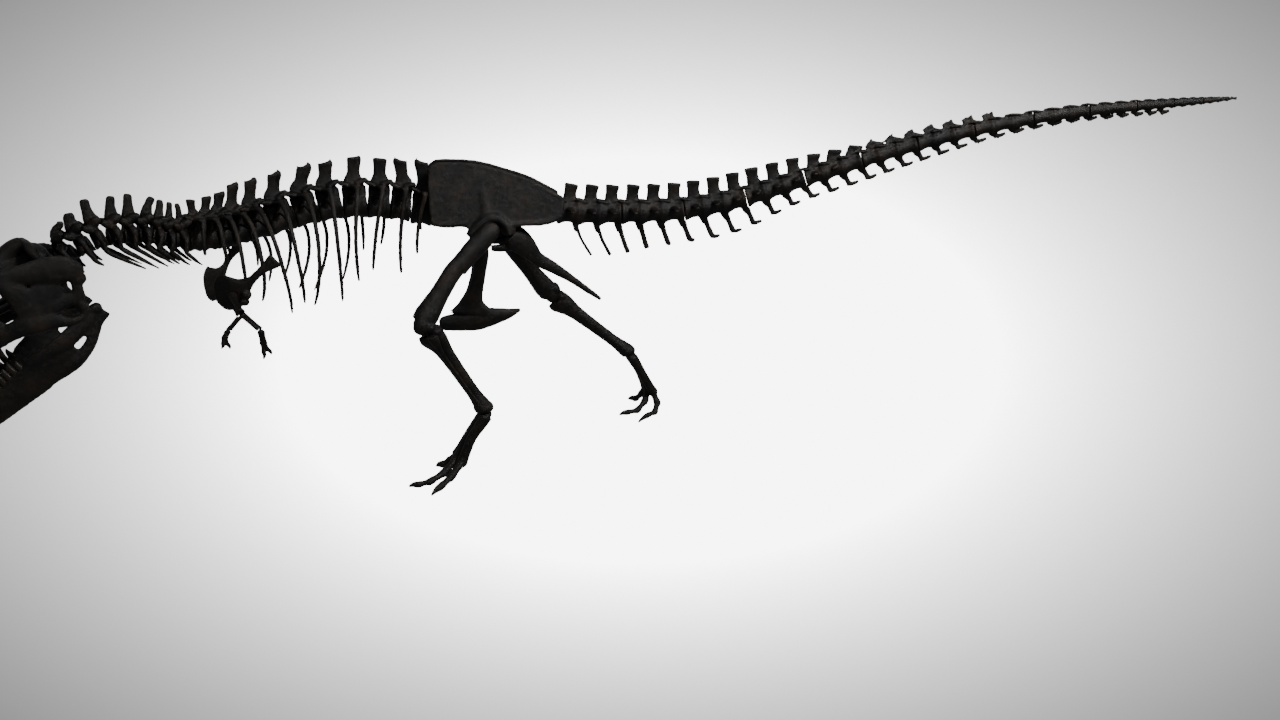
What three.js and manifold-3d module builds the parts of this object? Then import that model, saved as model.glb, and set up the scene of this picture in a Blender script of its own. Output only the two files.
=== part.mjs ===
// A Tyrannosaurus rex skeleton, mounted in a walking pose with its mouth open and its tail raised.
// Millimetres, +Z up. The head points to -X and the animal's left side to -Y.
// The model is drawn around the middle of the hip joints and then moved so that the origin lies
// on the ground under the middle of the whole skeleton.
import * as THREE from 'three';
import * as BufferGeometryUtils from 'three/addons/utils/BufferGeometryUtils.js';
import Module from 'manifold-3d';

const wasm = await Module();
wasm.setup();

// Driving dimensions
const HIP_HEIGHT = 2300;
const HIP_HALF_WIDTH = 260;
const DISC_GAP = 16;
const NECK_LENGTHS = [145, 118, 106, 108, 104, 90, 84, 92, 110];
const NECK_SPINE_LEAN = [110, 20, 20, 30, 5, 52, -20, -10, -25];
const NECK_SPINE_TIPS = [225, 264, 320, 308, 322, 304, 296, 298, 296];
const NECK_SPINE_HALVES = [26, 38, 34, 32, 32, 30, 26, 22, 20];
const BACK_LENGTHS = [116, 118, 120, 145, 200, 225, 215, 215, 215, 200, 190, 200, 210];
const BACK_SPINE_LEAN = [10, 35, 35, 35, 25, 25, 60, 20, 35, 35, 5, 0, 10];
const BACK_SPINE_TIPS = [330, 348, 364, 410, 406, 404, 406, 406, 434, 434, 436, 466, 440];
const TAIL_RUNS = [3, 3, 3, 3, 3, 3, 3, 3, 3, 3, 3, 3, 2, 2];
const ORIGIN_X = 930;
const ORIGIN_Y = -488;

// The line through the centres of the vertebral bodies, from the skull to the tip of the tail
const NECK_AND_BACK_LINE = [
  [-3400, -1108, 2350],
  [-3326, -1087, 2385],
  [-3167, -1038, 2475],
  [-2972, -956, 2534],
  [-2767, -834, 2515],
  [-2619, -736, 2455],
  [-2443, -613, 2413],
  [-2254, -477, 2409],
  [-2020, -327, 2438],
  [-1635, -165, 2515],
  [-1235, -72, 2555],
  [-835, -14, 2511],
  [-631, 0, 2458],
  [-318, 0, 2415],
];
const TAIL_LINE = [
  [652, 0, 2415],
  [1074, -4, 2383],
  [1590, -43, 2379],
  [1966, -94, 2403],
  [2373, -180, 2478],
  [2730, -277, 2588],
  [3088, -389, 2714],
  [3796, -655, 2974],
  [4445, -939, 3180],
  [5045, -1221, 3322],
  [5522, -1441, 3396],
  [6410, -1842, 3496],
];

// How far each rib falls, how far it sweeps toward the tail, and how its lower part bends on
// from there. The left and right ribs do not hang alike.
const RIBS = {
  left: {
    drop: [280, 380, 670, 720, 900, 855, 920, 965, 827, 740, 770, 560, 260],
    sweep: [-100, -100, -40, -50, 40, -60, 50, -40, -225, -245, -220, -230, -120],
    bend: [60, 100, 70, 40, 60, 95, -125, 20, 140, 80, 105, 105, 60],
  },
  right: {
    drop: [280, 400, 560, 760, 760, 920, 975, 935, 670, 600, 365, 400, 230],
    sweep: [380, 360, 1100, 1340, 1340, 1270, 960, 660, 200, 135, -70, -185, -100],
    bend: [-250, -200, -730, -990, -1050, -1090, -905, -590, -165, -175, 45, 115, 50],
  },
};

// Fossil bone, nearly black where it catches no light
const bone = new THREE.MeshStandardMaterial({ color: 0x1d1712, roughness: 0.45, metalness: 0 });

const skeleton = new THREE.Group();
const aroundHips = new THREE.Group();
aroundHips.position.set(-ORIGIN_X, -ORIGIN_Y, 0);
skeleton.add(aroundHips);

const vector = (p) => new THREE.Vector3(...p);

// A tapering bar along a smooth line. Each size is [half width, half height] of the section,
// the width lying across both the line and the up direction.
function bar({ path, sizes, sides = 6, steps = path.length - 1, up = [0, 0, 1], turn = 0 }) {
  const line = new THREE.CatmullRomCurve3(path.map(vector), false, 'catmullrom', 0.5);
  const upward = vector(up);
  const shape = new THREE.CylinderGeometry(1, 1, 1, sides, steps);
  const points = shape.attributes.position;
  for (let i = 0; i < points.count; i += 1) {
    const t = THREE.MathUtils.clamp(0.5 - points.getY(i), 0, 1);
    const place = t * (sizes.length - 1);
    const first = Math.min(Math.floor(place), sizes.length - 2);
    const [w0, h0] = sizes[first];
    const [w1, h1] = sizes[first + 1];
    const blend = place - first;
    const across = points.getX(i) * Math.cos(turn) - points.getZ(i) * Math.sin(turn);
    const over = points.getX(i) * Math.sin(turn) + points.getZ(i) * Math.cos(turn);
    const along = line.getTangent(t);
    const side = upward.clone().cross(along).normalize();
    const lift = along.clone().cross(side);
    const point = line.getPoint(t)
      .addScaledVector(side, across * (w0 + (w1 - w0) * blend))
      .addScaledVector(lift, over * (h0 + (h1 - h0) * blend));
    points.setXYZ(i, point.x, point.y, point.z);
  }
  return shape;
}

// The same bar with a four-sided section whose flat faces look sideways and up
function plank(options) {
  const sizes = options.sizes.map(([w, h]) => [w * Math.SQRT2, h * Math.SQRT2]);
  return bar({ ...options, sizes, sides: 4, turn: Math.PI / 4 });
}

function toSolid(geometry) {
  const plain = geometry.clone();
  plain.deleteAttribute('normal');
  plain.deleteAttribute('uv');
  const merged = BufferGeometryUtils.mergeVertices(plain, 0.01);
  return new wasm.Manifold(new wasm.Mesh({
    numProp: 3,
    vertProperties: new Float32Array(merged.attributes.position.array),
    triVerts: new Uint32Array(merged.index.array),
  }));
}

function toGeometry(solid) {
  const mesh = solid.getMesh();
  const geometry = new THREE.BufferGeometry();
  geometry.setAttribute('position', new THREE.BufferAttribute(new Float32Array(mesh.vertProperties), 3));
  geometry.setIndex(new THREE.BufferAttribute(new Uint32Array(mesh.triVerts), 1));
  geometry.computeVertexNormals();
  return geometry;
}

const joined = (shapes) => shapes.map(toSolid).reduce((whole, next) => whole.add(next));

function addSolid(name, solid, parent) {
  const mesh = new THREE.Mesh(toGeometry(solid), bone);
  mesh.name = name;
  parent.add(mesh);
  return mesh;
}

function addPiece(name, shapes, parent = aroundHips) {
  return addSolid(name, joined(shapes), parent);
}

// The shapes of something that is the same left and right: side is -1 for left and 1 for right
const SIDES = [{ name: 'left', side: -1 }, { name: 'right', side: 1 }];
const bothSides = (make) => SIDES.flatMap(({ side }) => make(side));

// Stands a piece on the line at a distance along it, with its x axis pointing to the tail
function placeOnLine(piece, line, distance) {
  const u = THREE.MathUtils.clamp(distance / line.getLength(), 0, 1);
  const along = line.getTangentAt(u);
  const side = new THREE.Vector3(0, 0, 1).cross(along).normalize();
  const up = along.clone().cross(side);
  piece.position.copy(line.getPointAt(u));
  piece.quaternion.setFromRotationMatrix(new THREE.Matrix4().makeBasis(along, side, up));
}

// How steeply a line rises toward the tail at a distance along it
function slopeOfLine(line, distance) {
  return line.getTangentAt(THREE.MathUtils.clamp(distance / line.getLength(), 0, 1)).z;
}

// A vertebra as one column from the bottom of its body to the tip of its spine. Each ring is
// [height, half width, half length, how far it leans toward the tail].
function vertebraColumn(rings, sides = 6) {
  const flat = Math.cos(Math.PI / sides);
  const widen = sides === 4 ? flat : 1;
  return bar({
    path: rings.map(([z, , , lean = 0]) => [lean, 0, z]),
    sizes: rings.map(([, width, half]) => [width / widen, half / flat]),
    sides,
    turn: Math.PI / sides,
    up: [1, 0, 0],
  });
}

// Side processes and ribs as one bar from the left tip over the arch to the right tip. Each knot
// is [point, size], and outward(side) lists those of one side from the arch to the tip.
function archAndRibs(middle, outward) {
  const knots = [...outward(-1).reverse(), middle, ...outward(1)];
  return bar({
    path: knots.map(([point]) => point),
    sizes: knots.map(([, size]) => size),
    sides: 4,
    turn: Math.PI / 4,
    up: [1, 0, 0],
  });
}

// Neck: the ring-shaped atlas, then nine vertebrae with thin ribs that sweep backward
const backLine = new THREE.CatmullRomCurve3(NECK_AND_BACK_LINE.map(vector), false, 'catmullrom', 0.5);
const sum = (values) => values.reduce((total, value) => total + value, 0);
const swell = (share, rate = 1) => Math.sin(Math.min(share * rate, 1) * Math.PI);

let distance = backLine.getLength() - sum(BACK_LENGTHS) - sum(NECK_LENGTHS);
const atlas = addPiece('atlas', [
  vertebraColumn([[-80, 50, 30], [-20, 84, 36], [40, 70, 32], [74, 30, 24]]),
]);
placeOnLine(atlas, backLine, distance - 44);

NECK_LENGTHS.forEach((spacing, i) => {
  const share = i / (NECK_LENGTHS.length - 1);
  const half = (spacing - DISC_GAP) / 2;
  const depth = 64 + 14 * share;
  const ribLength = spacing * (0.72 + 1.1 * swell(share + 0.1, 1.2));
  const piece = addPiece(`neck_vertebra_${i + 2}`, [
    vertebraColumn([
      [-depth, 42, half * 0.92], [0, 76 + 10 * share, half], [depth * 0.9, 58, half], [118, 50, half * 0.94],
      [140, 26, NECK_SPINE_HALVES[i] * 1.1, 12],
      [NECK_SPINE_TIPS[i], 24, NECK_SPINE_HALVES[i] * 0.95, 22 - 34 * share + NECK_SPINE_LEAN[i]],
    ], 4),
    archAndRibs([[0, 0, 76], [34, half * 0.8]], (side) => [
      [[8, side * (108 + 26 * share), 40 - 30 * share], [22, 22]],
      [[spacing * 0.08, side * 118, -80], [14, 16]],
      [[ribLength, side * 90, -130 - ribLength * 0.72], [7, 8]],
    ]),
  ]);
  placeOnLine(piece, backLine, distance + spacing / 2);
  distance += spacing;
});

// Back: thirteen vertebrae, each with its pair of ribs
BACK_LENGTHS.forEach((spacing, i) => {
  const share = i / (BACK_LENGTHS.length - 1);
  const half = (spacing - DISC_GAP) / 2;
  const depth = 98 + 22 * share;
  const arch = 178 + 26 * share;
  const span = i < BACK_LENGTHS.length - 1 ? 165 + 50 * swell(share) : 100;
  const bow = 250 * swell(share, 1.2) + 30 * (1 - share);
  const slope = slopeOfLine(backLine, distance + spacing / 2);
  const spineHalf = 32 + 24 * Math.min(share * 2, 1);
  const piece = addPiece(`back_vertebra_${i + 1}`, [
    vertebraColumn([
      [-depth, 56, half], [0, 90 + 14 * share, half], [depth * 0.9, 70, half], [arch, 56, half * 0.9],
      [arch + 26, 26, spineHalf * 1.05, 2],
      [BACK_SPINE_TIPS[i], 28, spineHalf, 6 - 14 * share + slope * 260 + BACK_SPINE_LEAN[i]],
    ]),
    archAndRibs([[0, 0, arch - 30], [34, half * 0.7]], (side) => {
      const { drop, sweep, bend } = side < 0 ? RIBS.left : RIBS.right;
      const ribPoint = (fall, across) => [
        16 + (sweep[i] + bend[i] * fall - drop[i] * slope) * fall, side * across, arch - drop[i] * fall,
      ];
      return [
        [[12, side * span, arch + 6], [22, 26]],
        [ribPoint(0.3, span + bow * 0.86), [13, 20]],
        [ribPoint(0.68, span + bow * 0.98), [12, 18]],
        [ribPoint(1, span + bow * 0.5), [8, 11]],
      ];
    }),
  ]);
  placeOnLine(piece, backLine, distance + spacing / 2);
  distance += spacing;
});

// Sacrum: five vertebrae grown together under a tall plate, with cross bars to the hip bones
const SACRUM_FRONT = -302;
const SACRUM_REAR = 646;
const sacrumCentre = (x) => 2412 + 0.06 * (x - SACRUM_FRONT);
const sacralBars = [0.12, 0.5, 0.88].map((share) => {
  const x = SACRUM_FRONT + share * (SACRUM_REAR - SACRUM_FRONT);
  return plank({
    path: [[x, -160, sacrumCentre(x) + 40], [x, 160, sacrumCentre(x) + 40]],
    sizes: [[34, 62], [34, 62]],
  });
});
const sacralPlate = new THREE.Shape([
  [-300, 2440], [640, 2490], [640, 2600], [390, 2720], [200, 2795], [-100, 2885], [-300, 2890],
].map(([x, z]) => new THREE.Vector2(x, z)));
const plateShape = new THREE.ExtrudeGeometry(sacralPlate, { depth: 56, bevelEnabled: false });
plateShape.rotateX(Math.PI / 2);
plateShape.translate(0, 28, 0);
addPiece('sacrum', [
  bar({
    path: [0, 0.5, 1].map((share) => {
      const x = SACRUM_FRONT + share * (SACRUM_REAR - SACRUM_FRONT);
      return [x, 0, sacrumCentre(x)];
    }),
    sizes: [[100, 104], [90, 100], [96, 114]],
    sides: 6,
  }),
  plateShape,
  ...sacralBars,
]);

// Hip bones: tall blades that lean together at the top, arched over the hip joint below
const ILIUM_OUTLINE = [
  [-548, 2374], [-535, 2870], [-480, 2915], [-400, 2932], [-100, 2910], [200, 2820], [390, 2750], [560, 2655],
  [680, 2590], [696, 2540], [650, 2370], [450, 2325], [230, 2330], [190, 2250], [110, 2262], [80, 2330],
  [0, 2372], [-70, 2340], [-100, 2225], [-190, 2240], [-215, 2350], [-380, 2352],
];
const ILIUM_THICKNESS = 38;
const bladeSetting = (z) => 235 - (z - HIP_HEIGHT) * 0.19;
SIDES.forEach(({ name, side }) => {
  const outline = new THREE.Shape(ILIUM_OUTLINE.map(([x, z]) => new THREE.Vector2(x, z)));
  const blade = new THREE.ExtrudeGeometry(outline, { depth: ILIUM_THICKNESS, bevelEnabled: false });
  blade.rotateX(Math.PI / 2);
  const points = blade.attributes.position;
  for (let i = 0; i < points.count; i += 1) {
    points.setY(i, points.getY(i) + ILIUM_THICKNESS / 2 + side * bladeSetting(points.getZ(i)));
  }
  addPiece(`ilium_${name}`, [blade]);
});

// Pubis: two shafts that meet in a long foot-shaped end
addPiece('pubis', [
  bar({
    path: [[-540, 0, 1358], [-350, 0, 1366], [-170, 0, 1381], [0, 0, 1396], [130, 0, 1416], [244, 0, 1450]],
    sizes: [[32, 72], [58, 98], [70, 118], [60, 90], [40, 52], [10, 16]],
    sides: 6,
  }),
  ...bothSides((side) => [bar({
    path: [[-130, side * 215, 2205], [-120, side * 150, 2050], [-155, side * 92, 1850], [-205, side * 48, 1620],
      [-235, side * 32, 1460]],
    sizes: [[52, 74], [46, 74], [40, 66], [40, 96], [38, 200]],
    sides: 5,
    up: [1, 0, 0],
  })]),
]);

// Ischium: two rods that run back and down and join at their ends
addPiece('ischium', [
  ...bothSides((side) => [bar({
    path: [[195, side * 200, 2205], [320, side * 160, 2125], [440, side * 95, 1970], [590, side * 55, 1878],
      [770, side * 30, 1742], [1064, side * 14, 1510]],
    sizes: [[44, 118], [40, 112], [34, 66], [32, 56], [26, 38], [18, 20]],
    sides: 5,
    up: [0, 0, 1],
  }), bar({
    path: [[230, side * 186, 2150], [120, side * 176, 2125], [-10, side * 170, 2120]],
    sizes: [[34, 60], [32, 46], [26, 34]],
    sides: 5,
  })]),
]);

// Legs: the places of the joints, left leg forward and right leg back
const LEGS = [
  {
    name: 'left',
    side: -1,
    knee: [-708, -660, 1560],
    shin: [-652, -660, 1520],
    ankle: [-170, -550, 622],
    toes: [
      [[-178, -488, 592], [-332, -482, 385], [-470, -460, 158], [-560, -432, 72], [-636, -400, 25], [-702, -352, 8]],
      [[-192, -550, 582], [-338, -548, 385], [-480, -560, 150], [-612, -690, 66], [-745, -785, 27],
        [-850, -800, 25], [-945, -775, 8]],
      [[-173, -612, 592], [-327, -625, 385], [-435, -645, 150], [-550, -785, 66], [-645, -890, 25], [-739, -1003, 8]],
    ],
  },
  {
    name: 'right',
    side: 1,
    knee: [622, 470, 1445],
    shin: [645, 470, 1435],
    ankle: [1474, 470, 730],
    toes: [
      [[1485, 408, 700], [1605, 440, 485], [1735, 470, 245], [1776, 420, 120], [1730, 350, 28], [1640, 304, 25],
        [1497, 181, 8]],
      [[1483, 470, 695], [1597, 510, 490], [1702, 552, 250], [1650, 500, 120], [1550, 440, 28], [1430, 430, 25],
        [1334, 428, 8]],
      [[1475, 532, 700], [1592, 590, 490], [1690, 650, 250], [1660, 720, 120], [1610, 790, 27], [1530, 870, 8]],
    ],
  },
];
const mix = (a, b, share) => a.map((value, i) => value + (b[i] - value) * share);
const shifted = (point, [x, y, z]) => [point[0] + x, point[1] + y, point[2] + z];

LEGS.forEach(({ name, side, knee, shin, ankle, toes }) => {
  const hip = [0, side * HIP_HALF_WIDTH, HIP_HEIGHT];
  const shaftTop = shifted(hip, [0, side * 120, 50]);
  const kneeTop = shifted(mix(hip, knee, 0.96), [0, side * 6, 0]);
  const bowed = shifted(mix(shaftTop, kneeTop, 0.5), [-25, 0, 20]);
  addPiece(`femur_${name}`, [
    bar({
      path: [shaftTop, mix(shaftTop, bowed, 0.45), bowed, mix(bowed, kneeTop, 0.6), kneeTop],
      sizes: [[58, 80], [72, 94], [62, 84], [74, 98], [98, 112]],
      sides: 7,
      up: [-1, 0, 0.6],
    }),
    bar({
      path: [shifted(hip, [0, -side * 30, 12]), shifted(hip, [0, side * 40, 10]), shifted(hip, [0, side * 120, 0])],
      sizes: [[50, 50], [72, 72], [60, 66]],
      sides: 6,
    }),
  ]);
  const shinTop = mix(shin, ankle, 0.05);
  const shinEnd = mix(shin, ankle, 0.965);
  addPiece(`tibia_${name}`, [bar({
    path: [shinTop, mix(shinTop, shinEnd, 0.12), mix(shinTop, shinEnd, 0.3), mix(shinTop, shinEnd, 0.7), shinEnd],
    sizes: [[92, 126], [78, 108], [58, 78], [54, 66], [92, 78]],
    sides: 7,
    up: [-1, 0, 0.4],
  })]);
  const outward = [0, side * 128, 0];
  addPiece(`fibula_${name}`, [bar({
    path: [shifted(mix(shinTop, shinEnd, 0.02), outward), shifted(mix(shinTop, shinEnd, 0.3), [0, side * 100, 0]),
      shifted(mix(shinTop, shinEnd, 0.97), [0, side * 122, 0])],
    sizes: [[20, 48], [16, 22], [18, 24]],
    sides: 4,
    up: [-1, 0, 0.4],
  })]);
  const foot = toes.map((path) => {
    const knuckles = path.length - 4;
    const narrowing = Array.from({ length: knuckles }, (_, i) => [42 - i * 4, 44 - i * 4]);
    const sizes = [[46, 58], [40, 50], [50, 54], ...narrowing, [8, 14]];
    return bar({ path, sizes, sides: 5, up: [0, 0, 1] });
  });
  foot.forEach((toe) => {
    const points = toe.attributes.position;
    for (let i = 0; i < points.count; i += 1) points.setZ(i, Math.max(points.getZ(i), 0));
  });
  addPiece(`foot_${name}`, foot);
});

// Shoulders and arms
const shoulders = new THREE.Group();
shoulders.position.set(-2195, -556, 0);
shoulders.rotation.z = THREE.MathUtils.degToRad(30);
aroundHips.add(shoulders);
SIDES.forEach(({ name, side }) => {
  addPiece(`scapula_${name}`, [bar({
    path: [[185, side * 415, 2250], [70, side * 352, 2160], [-50, side * 270, 2046], [-140, side * 205, 2000],
      [-220, side * 140, 2000]],
    sizes: [[16, 62], [16, 32], [34, 76], [26, 170], [12, 112]],
    sides: 6,
  })], shoulders);
});

const ARMS = [
  {
    name: 'left',
    shoulder: [-2185, -860, 1985],
    elbow: [-2093, -1080, 1890],
    wrist: [-1978, -1020, 1722],
    palm: [-1978, -985, 1590],
    fingers: [[-2000, -985, 1450], [-1935, -960, 1480]],
  },
  {
    name: 'right',
    shoulder: [-2375, -330, 1905],
    elbow: [-2268, -340, 1655],
    wrist: [-2380, -380, 1540],
    palm: [-2415, -400, 1480],
    fingers: [[-2455, -410, 1385], [-2390, -385, 1370]],
  },
];
ARMS.forEach(({ name, shoulder, elbow, wrist, palm, fingers }) => {
  addPiece(`humerus_${name}`, [bar({
    path: [shoulder, mix(shoulder, elbow, 0.5), mix(shoulder, elbow, 0.94)],
    sizes: [[38, 32], [25, 25], [38, 30]],
    sides: 5,
  })]);
  addPiece(`forearm_${name}`, [bar({
    path: [mix(shoulder, elbow, 1.1), mix(elbow, wrist, 0.5), mix(elbow, wrist, 0.95)],
    sizes: [[34, 26], [26, 16], [30, 20]],
    sides: 5,
  })]);
  addPiece(`hand_${name}`, fingers.map((tip) => bar({
    path: [mix(elbow, wrist, 1.03), palm, mix(palm, tip, 0.5), tip],
    sizes: [[26, 19], [20, 20], [18, 19], [5, 6]],
    sides: 4,
    up: [1, 0, 0.2],
  })));
});

// Skull, drawn around the knob that the neck carries, with the snout along -X
const HEAD_SIZE = 1.12;
const SKULL_PLACE = [-3385, -1110, 2415];
const SKULL_HEADING = 30;
const SKULL_PITCH = -17;
const JAW_OPENING = -20;
const TEETH = 6;
const TOOTH_LENGTH = 120;
const head = new THREE.Group();
head.position.set(...SKULL_PLACE);
head.rotation.set(0, THREE.MathUtils.degToRad(SKULL_PITCH), THREE.MathUtils.degToRad(SKULL_HEADING), 'ZYX');
head.scale.setScalar(HEAD_SIZE);
aroundHips.add(head);

// An oval opening cut straight across or down through the skull
function oval(centre, [along, other], reach, down = false) {
  const hole = new THREE.CylinderGeometry(1, 1, 2 * reach, 8, 1);
  hole.scale(along, 1, other);
  if (down) hole.rotateX(Math.PI / 2);
  hole.translate(...centre);
  return hole;
}

// A row of pointed teeth on each side of a jaw, along the edge given by share of its length
const toothRows = (edge, direction) => bothSides((side) => Array.from({ length: TEETH }, (_, i) => {
  const share = (i + 0.5) / TEETH;
  const [x, y, z] = edge(share);
  const length = TOOTH_LENGTH * (0.6 + 0.5 * Math.sin(Math.PI * Math.min(1, share * 1.2)));
  return bar({
    path: [[x, side * y, z - direction * 20], [x + length * 0.25, side * y, z + direction * length]],
    sizes: [[18, 26], [3, 4]],
    sides: 3,
    up: [1, 0, 0],
  });
}));

const skullWalls = joined([
  bar({
    path: [[30, 0, -85], [-150, 0, -98], [-340, 0, -95], [-520, 0, -115], [-760, 0, -145], [-1000, 0, -190],
      [-1180, 0, -220], [-1270, 0, -240]],
    sizes: [[256, 240], [278, 275], [262, 280], [200, 285], [158, 262], [128, 215], [96, 160], [52, 104]],
    sides: 8,
    turn: Math.PI / 8,
  }),
  ...bothSides((side) => [bar({
    path: [[-110, side * 226, 35], [50, side * 265, 0], [125, side * 280, -50]],
    sizes: [[30, 56], [42, 84], [22, 60]],
    sides: 5,
  })]),
]);
const skullHollows = joined([
  bar({
    path: [[140, 0, -200], [-150, 0, -200], [-340, 0, -208], [-520, 0, -215], [-760, 0, -215], [-1000, 0, -240],
      [-1190, 0, -280]],
    sizes: [[190, 296], [256, 324], [238, 334], [180, 340], [138, 292], [106, 222], [70, 172]],
    sides: 8,
    turn: Math.PI / 8,
  }),
  oval([-12, 0, -160], [28, 24], 400),
  oval([-60, 0, -318], [46, 34], 400),
  oval([-385, 0, -40], [44, 88], 400),
  oval([-650, 0, -120], [96, 84], 400),
  oval([-1120, 0, -165], [46, 26], 400),
  ...bothSides((side) => [oval([-130, side * 105, 120], [70, 48], 180, true)]),
]);
const occiput = bar({
  path: [[-48, 0, -50], [-105, 0, -50]],
  sizes: [[256, 176], [258, 176]],
  sides: 8,
  turn: Math.PI / 8,
});
const toothBones = bothSides((side) => [plank({
  path: [[-330, side * 214, -262], [-560, side * 172, -262], [-800, side * 130, -262], [-1050, side * 88, -262],
    [-1235, side * 44, -262]],
  sizes: [[16, 56], [17, 104], [17, 118], [17, 112], [20, 90]],
})]);
const upperTeeth = toothRows((share) => [-500 - 690 * share, 183 - 124 * share, -362], -1);
addSolid('skull', skullWalls.subtract(skullHollows).add(joined([occiput, ...toothBones, ...upperTeeth])), head);

const jaw = new THREE.Group();
jaw.position.set(28, 0, -375);
jaw.rotation.y = THREE.MathUtils.degToRad(JAW_OPENING);
head.add(jaw);
const jawBones = joined(bothSides((side) => [bar({
  path: [[95, side * 235, -40], [-120, side * 245, -60], [-260, side * 240, -72], [-480, side * 190, -86],
    [-760, side * 120, -86], [-1000, side * 66, -78], [-1130, side * 20, -64]],
  sizes: [[22, 46], [24, 118], [25, 148], [26, 120], [27, 88], [32, 78], [36, 56]],
  sides: 6,
})]));
const lowerTeeth = toothRows((share) => [-470 - 620 * share, 186 - 142 * share ** 0.9, -4], 1);
addSolid('lower_jaw', jawBones.subtract(toSolid(oval([-185, 0, -100], [42, 20], 400))).add(joined(lowerTeeth)), jaw);

// Tail: forty vertebrae in short runs, each vertebra with its spine above and, in the front
// part of the tail, a chevron bone below
const tailLine = new THREE.CatmullRomCurve3(TAIL_LINE.map(vector), false, 'catmullrom', 0.5);
const TAIL_VERTEBRAE = sum(TAIL_RUNS);
const CHEVRONS = 32;
const fade = THREE.MathUtils.smoothstep;
const taper = (i) => 1 - 0.18 * fade(i, 6, 18) - 0.5 * fade(i, 21, 37);
const tailScale = tailLine.getLength() / sum(Array.from({ length: TAIL_VERTEBRAE }, (_, i) => taper(i)));

function tailVertebra(number, place, half) {
  const rest = 1 - number / (TAIL_VERTEBRAE - 1);
  const width = 98 * rest ** 0.7 + 12;
  const height = width * (1.08 - 0.14 * fade(number, 7, 12));
  const spine = 272 - 165 * fade(number, 8, 17.5) - 100 * fade(number, 17, 30);
  const chevron = 432 - 100 * fade(number, 1, 5) - 125 * fade(number, 6, 11) - 120 * fade(number, 12, 25);
  const rings = [[-height, width * 0.62, half], [0, width * 0.95, half]];
  if (spine > width + 8) {
    rings.push([width, width * 0.45, half * 0.8, 8]);
    rings.push([spine, 18 * rest + 5, Math.min(60, half * 0.76), 22 + 75 * fade(number, 9, 17)]);
  } else {
    rings.push([width * 0.9, width * 0.5, half * 0.96]);
  }
  if (number < CHEVRONS) {
    const trail = 160 - 100 * fade(number, 0, 3) - 40 * fade(number, 5, 9) - 25 * fade(number, 16, 22);
    const blade = 14 + 16 * fade(number, 0, 3) - 16 * fade(number, 12, 28);
    const boot = 34 * fade(number, 3, 7) * (1 - fade(number, 12, 20));
    rings.unshift([-height * 1.08, 18, blade + 4, half * 0.3]);
    rings.unshift([-chevron, 10, blade + boot, half + trail + boot * 0.7]);
  }
  const vertebra = vertebraColumn(rings, 4);
  const holder = new THREE.Object3D();
  placeOnLine(holder, tailLine, place);
  holder.updateMatrix();
  return vertebra.applyMatrix4(holder.matrix);
}

let tailPlace = 0;
let tailNumber = 0;
TAIL_RUNS.forEach((count, run) => {
  const vertebrae = [];
  for (let k = 0; k < count; k += 1) {
    const spacing = tailScale * taper(tailNumber);
    const from = tailPlace + (k === 0 ? DISC_GAP : -DISC_GAP) / 2;
    const to = tailPlace + spacing - (k === count - 1 ? DISC_GAP : -DISC_GAP) / 2;
    vertebrae.push(tailVertebra(tailNumber, (from + to) / 2, (to - from) / 2));
    tailPlace += spacing;
    tailNumber += 1;
  }
  addPiece(`tail_run_${run + 1}`, vertebrae);
});

export default skeleton;
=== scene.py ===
import math

import bmesh
import bpy
import numpy
from mathutils import Matrix, Vector


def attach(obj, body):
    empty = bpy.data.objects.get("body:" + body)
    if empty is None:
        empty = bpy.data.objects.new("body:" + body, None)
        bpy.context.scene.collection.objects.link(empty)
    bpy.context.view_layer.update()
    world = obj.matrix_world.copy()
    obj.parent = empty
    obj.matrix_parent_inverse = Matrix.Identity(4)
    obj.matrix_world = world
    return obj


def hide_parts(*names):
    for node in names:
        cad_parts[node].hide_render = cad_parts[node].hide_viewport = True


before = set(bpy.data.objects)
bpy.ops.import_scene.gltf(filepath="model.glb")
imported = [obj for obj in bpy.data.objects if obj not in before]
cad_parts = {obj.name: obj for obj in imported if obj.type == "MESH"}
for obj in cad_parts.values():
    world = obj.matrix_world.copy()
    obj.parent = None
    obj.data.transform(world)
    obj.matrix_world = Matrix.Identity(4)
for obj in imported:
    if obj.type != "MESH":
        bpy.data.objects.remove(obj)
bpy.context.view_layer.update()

# Atlas and neck
# The ring-shaped atlas carries the skull, and nine vertebrae follow it. Each is a spool with an arch
# over the spinal cord, a spine on top, and a pair of thin ribs that sweep backward under the neck.
# The bones are mineral-black fossil, and they stand a finger's width apart.

# Bones are drawn in millimetres around the middle of the hip joints, then set on the ground in metres
HIPS_FROM_MIDDLE = (-0.930, 0.488, 0)
METRES = 0.001
ON_THE_GROUND = Matrix.Translation(HIPS_FROM_MIDDLE) @ Matrix.Scale(METRES, 4)
HIP_HEIGHT = 2300
DISC_GAP = 10
# Forms that run upward take the way toward the tail as their up direction
TAILWARD = (1, 0, 0)


def along(points, share):
    """A place on a smooth line through the points. Sizes behind the place blend with it."""
    first = [2 * a - b for a, b in zip(points[0], points[1])]
    last = [2 * a - b for a, b in zip(points[-1], points[-2])]
    run = [first, *points, last]
    stretch = min(max(share, 0), 1) * (len(points) - 1)
    i = min(int(stretch), len(points) - 2)
    t = stretch - i
    return [
        0.5 * (2 * b + (c - a) * t + (2 * a - 5 * b + 4 * c - d) * t ** 2
               + (3 * b - a - 3 * c + d) * t ** 3)
        for a, b, c, d in zip(*run[i:i + 4])
    ]


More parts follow.
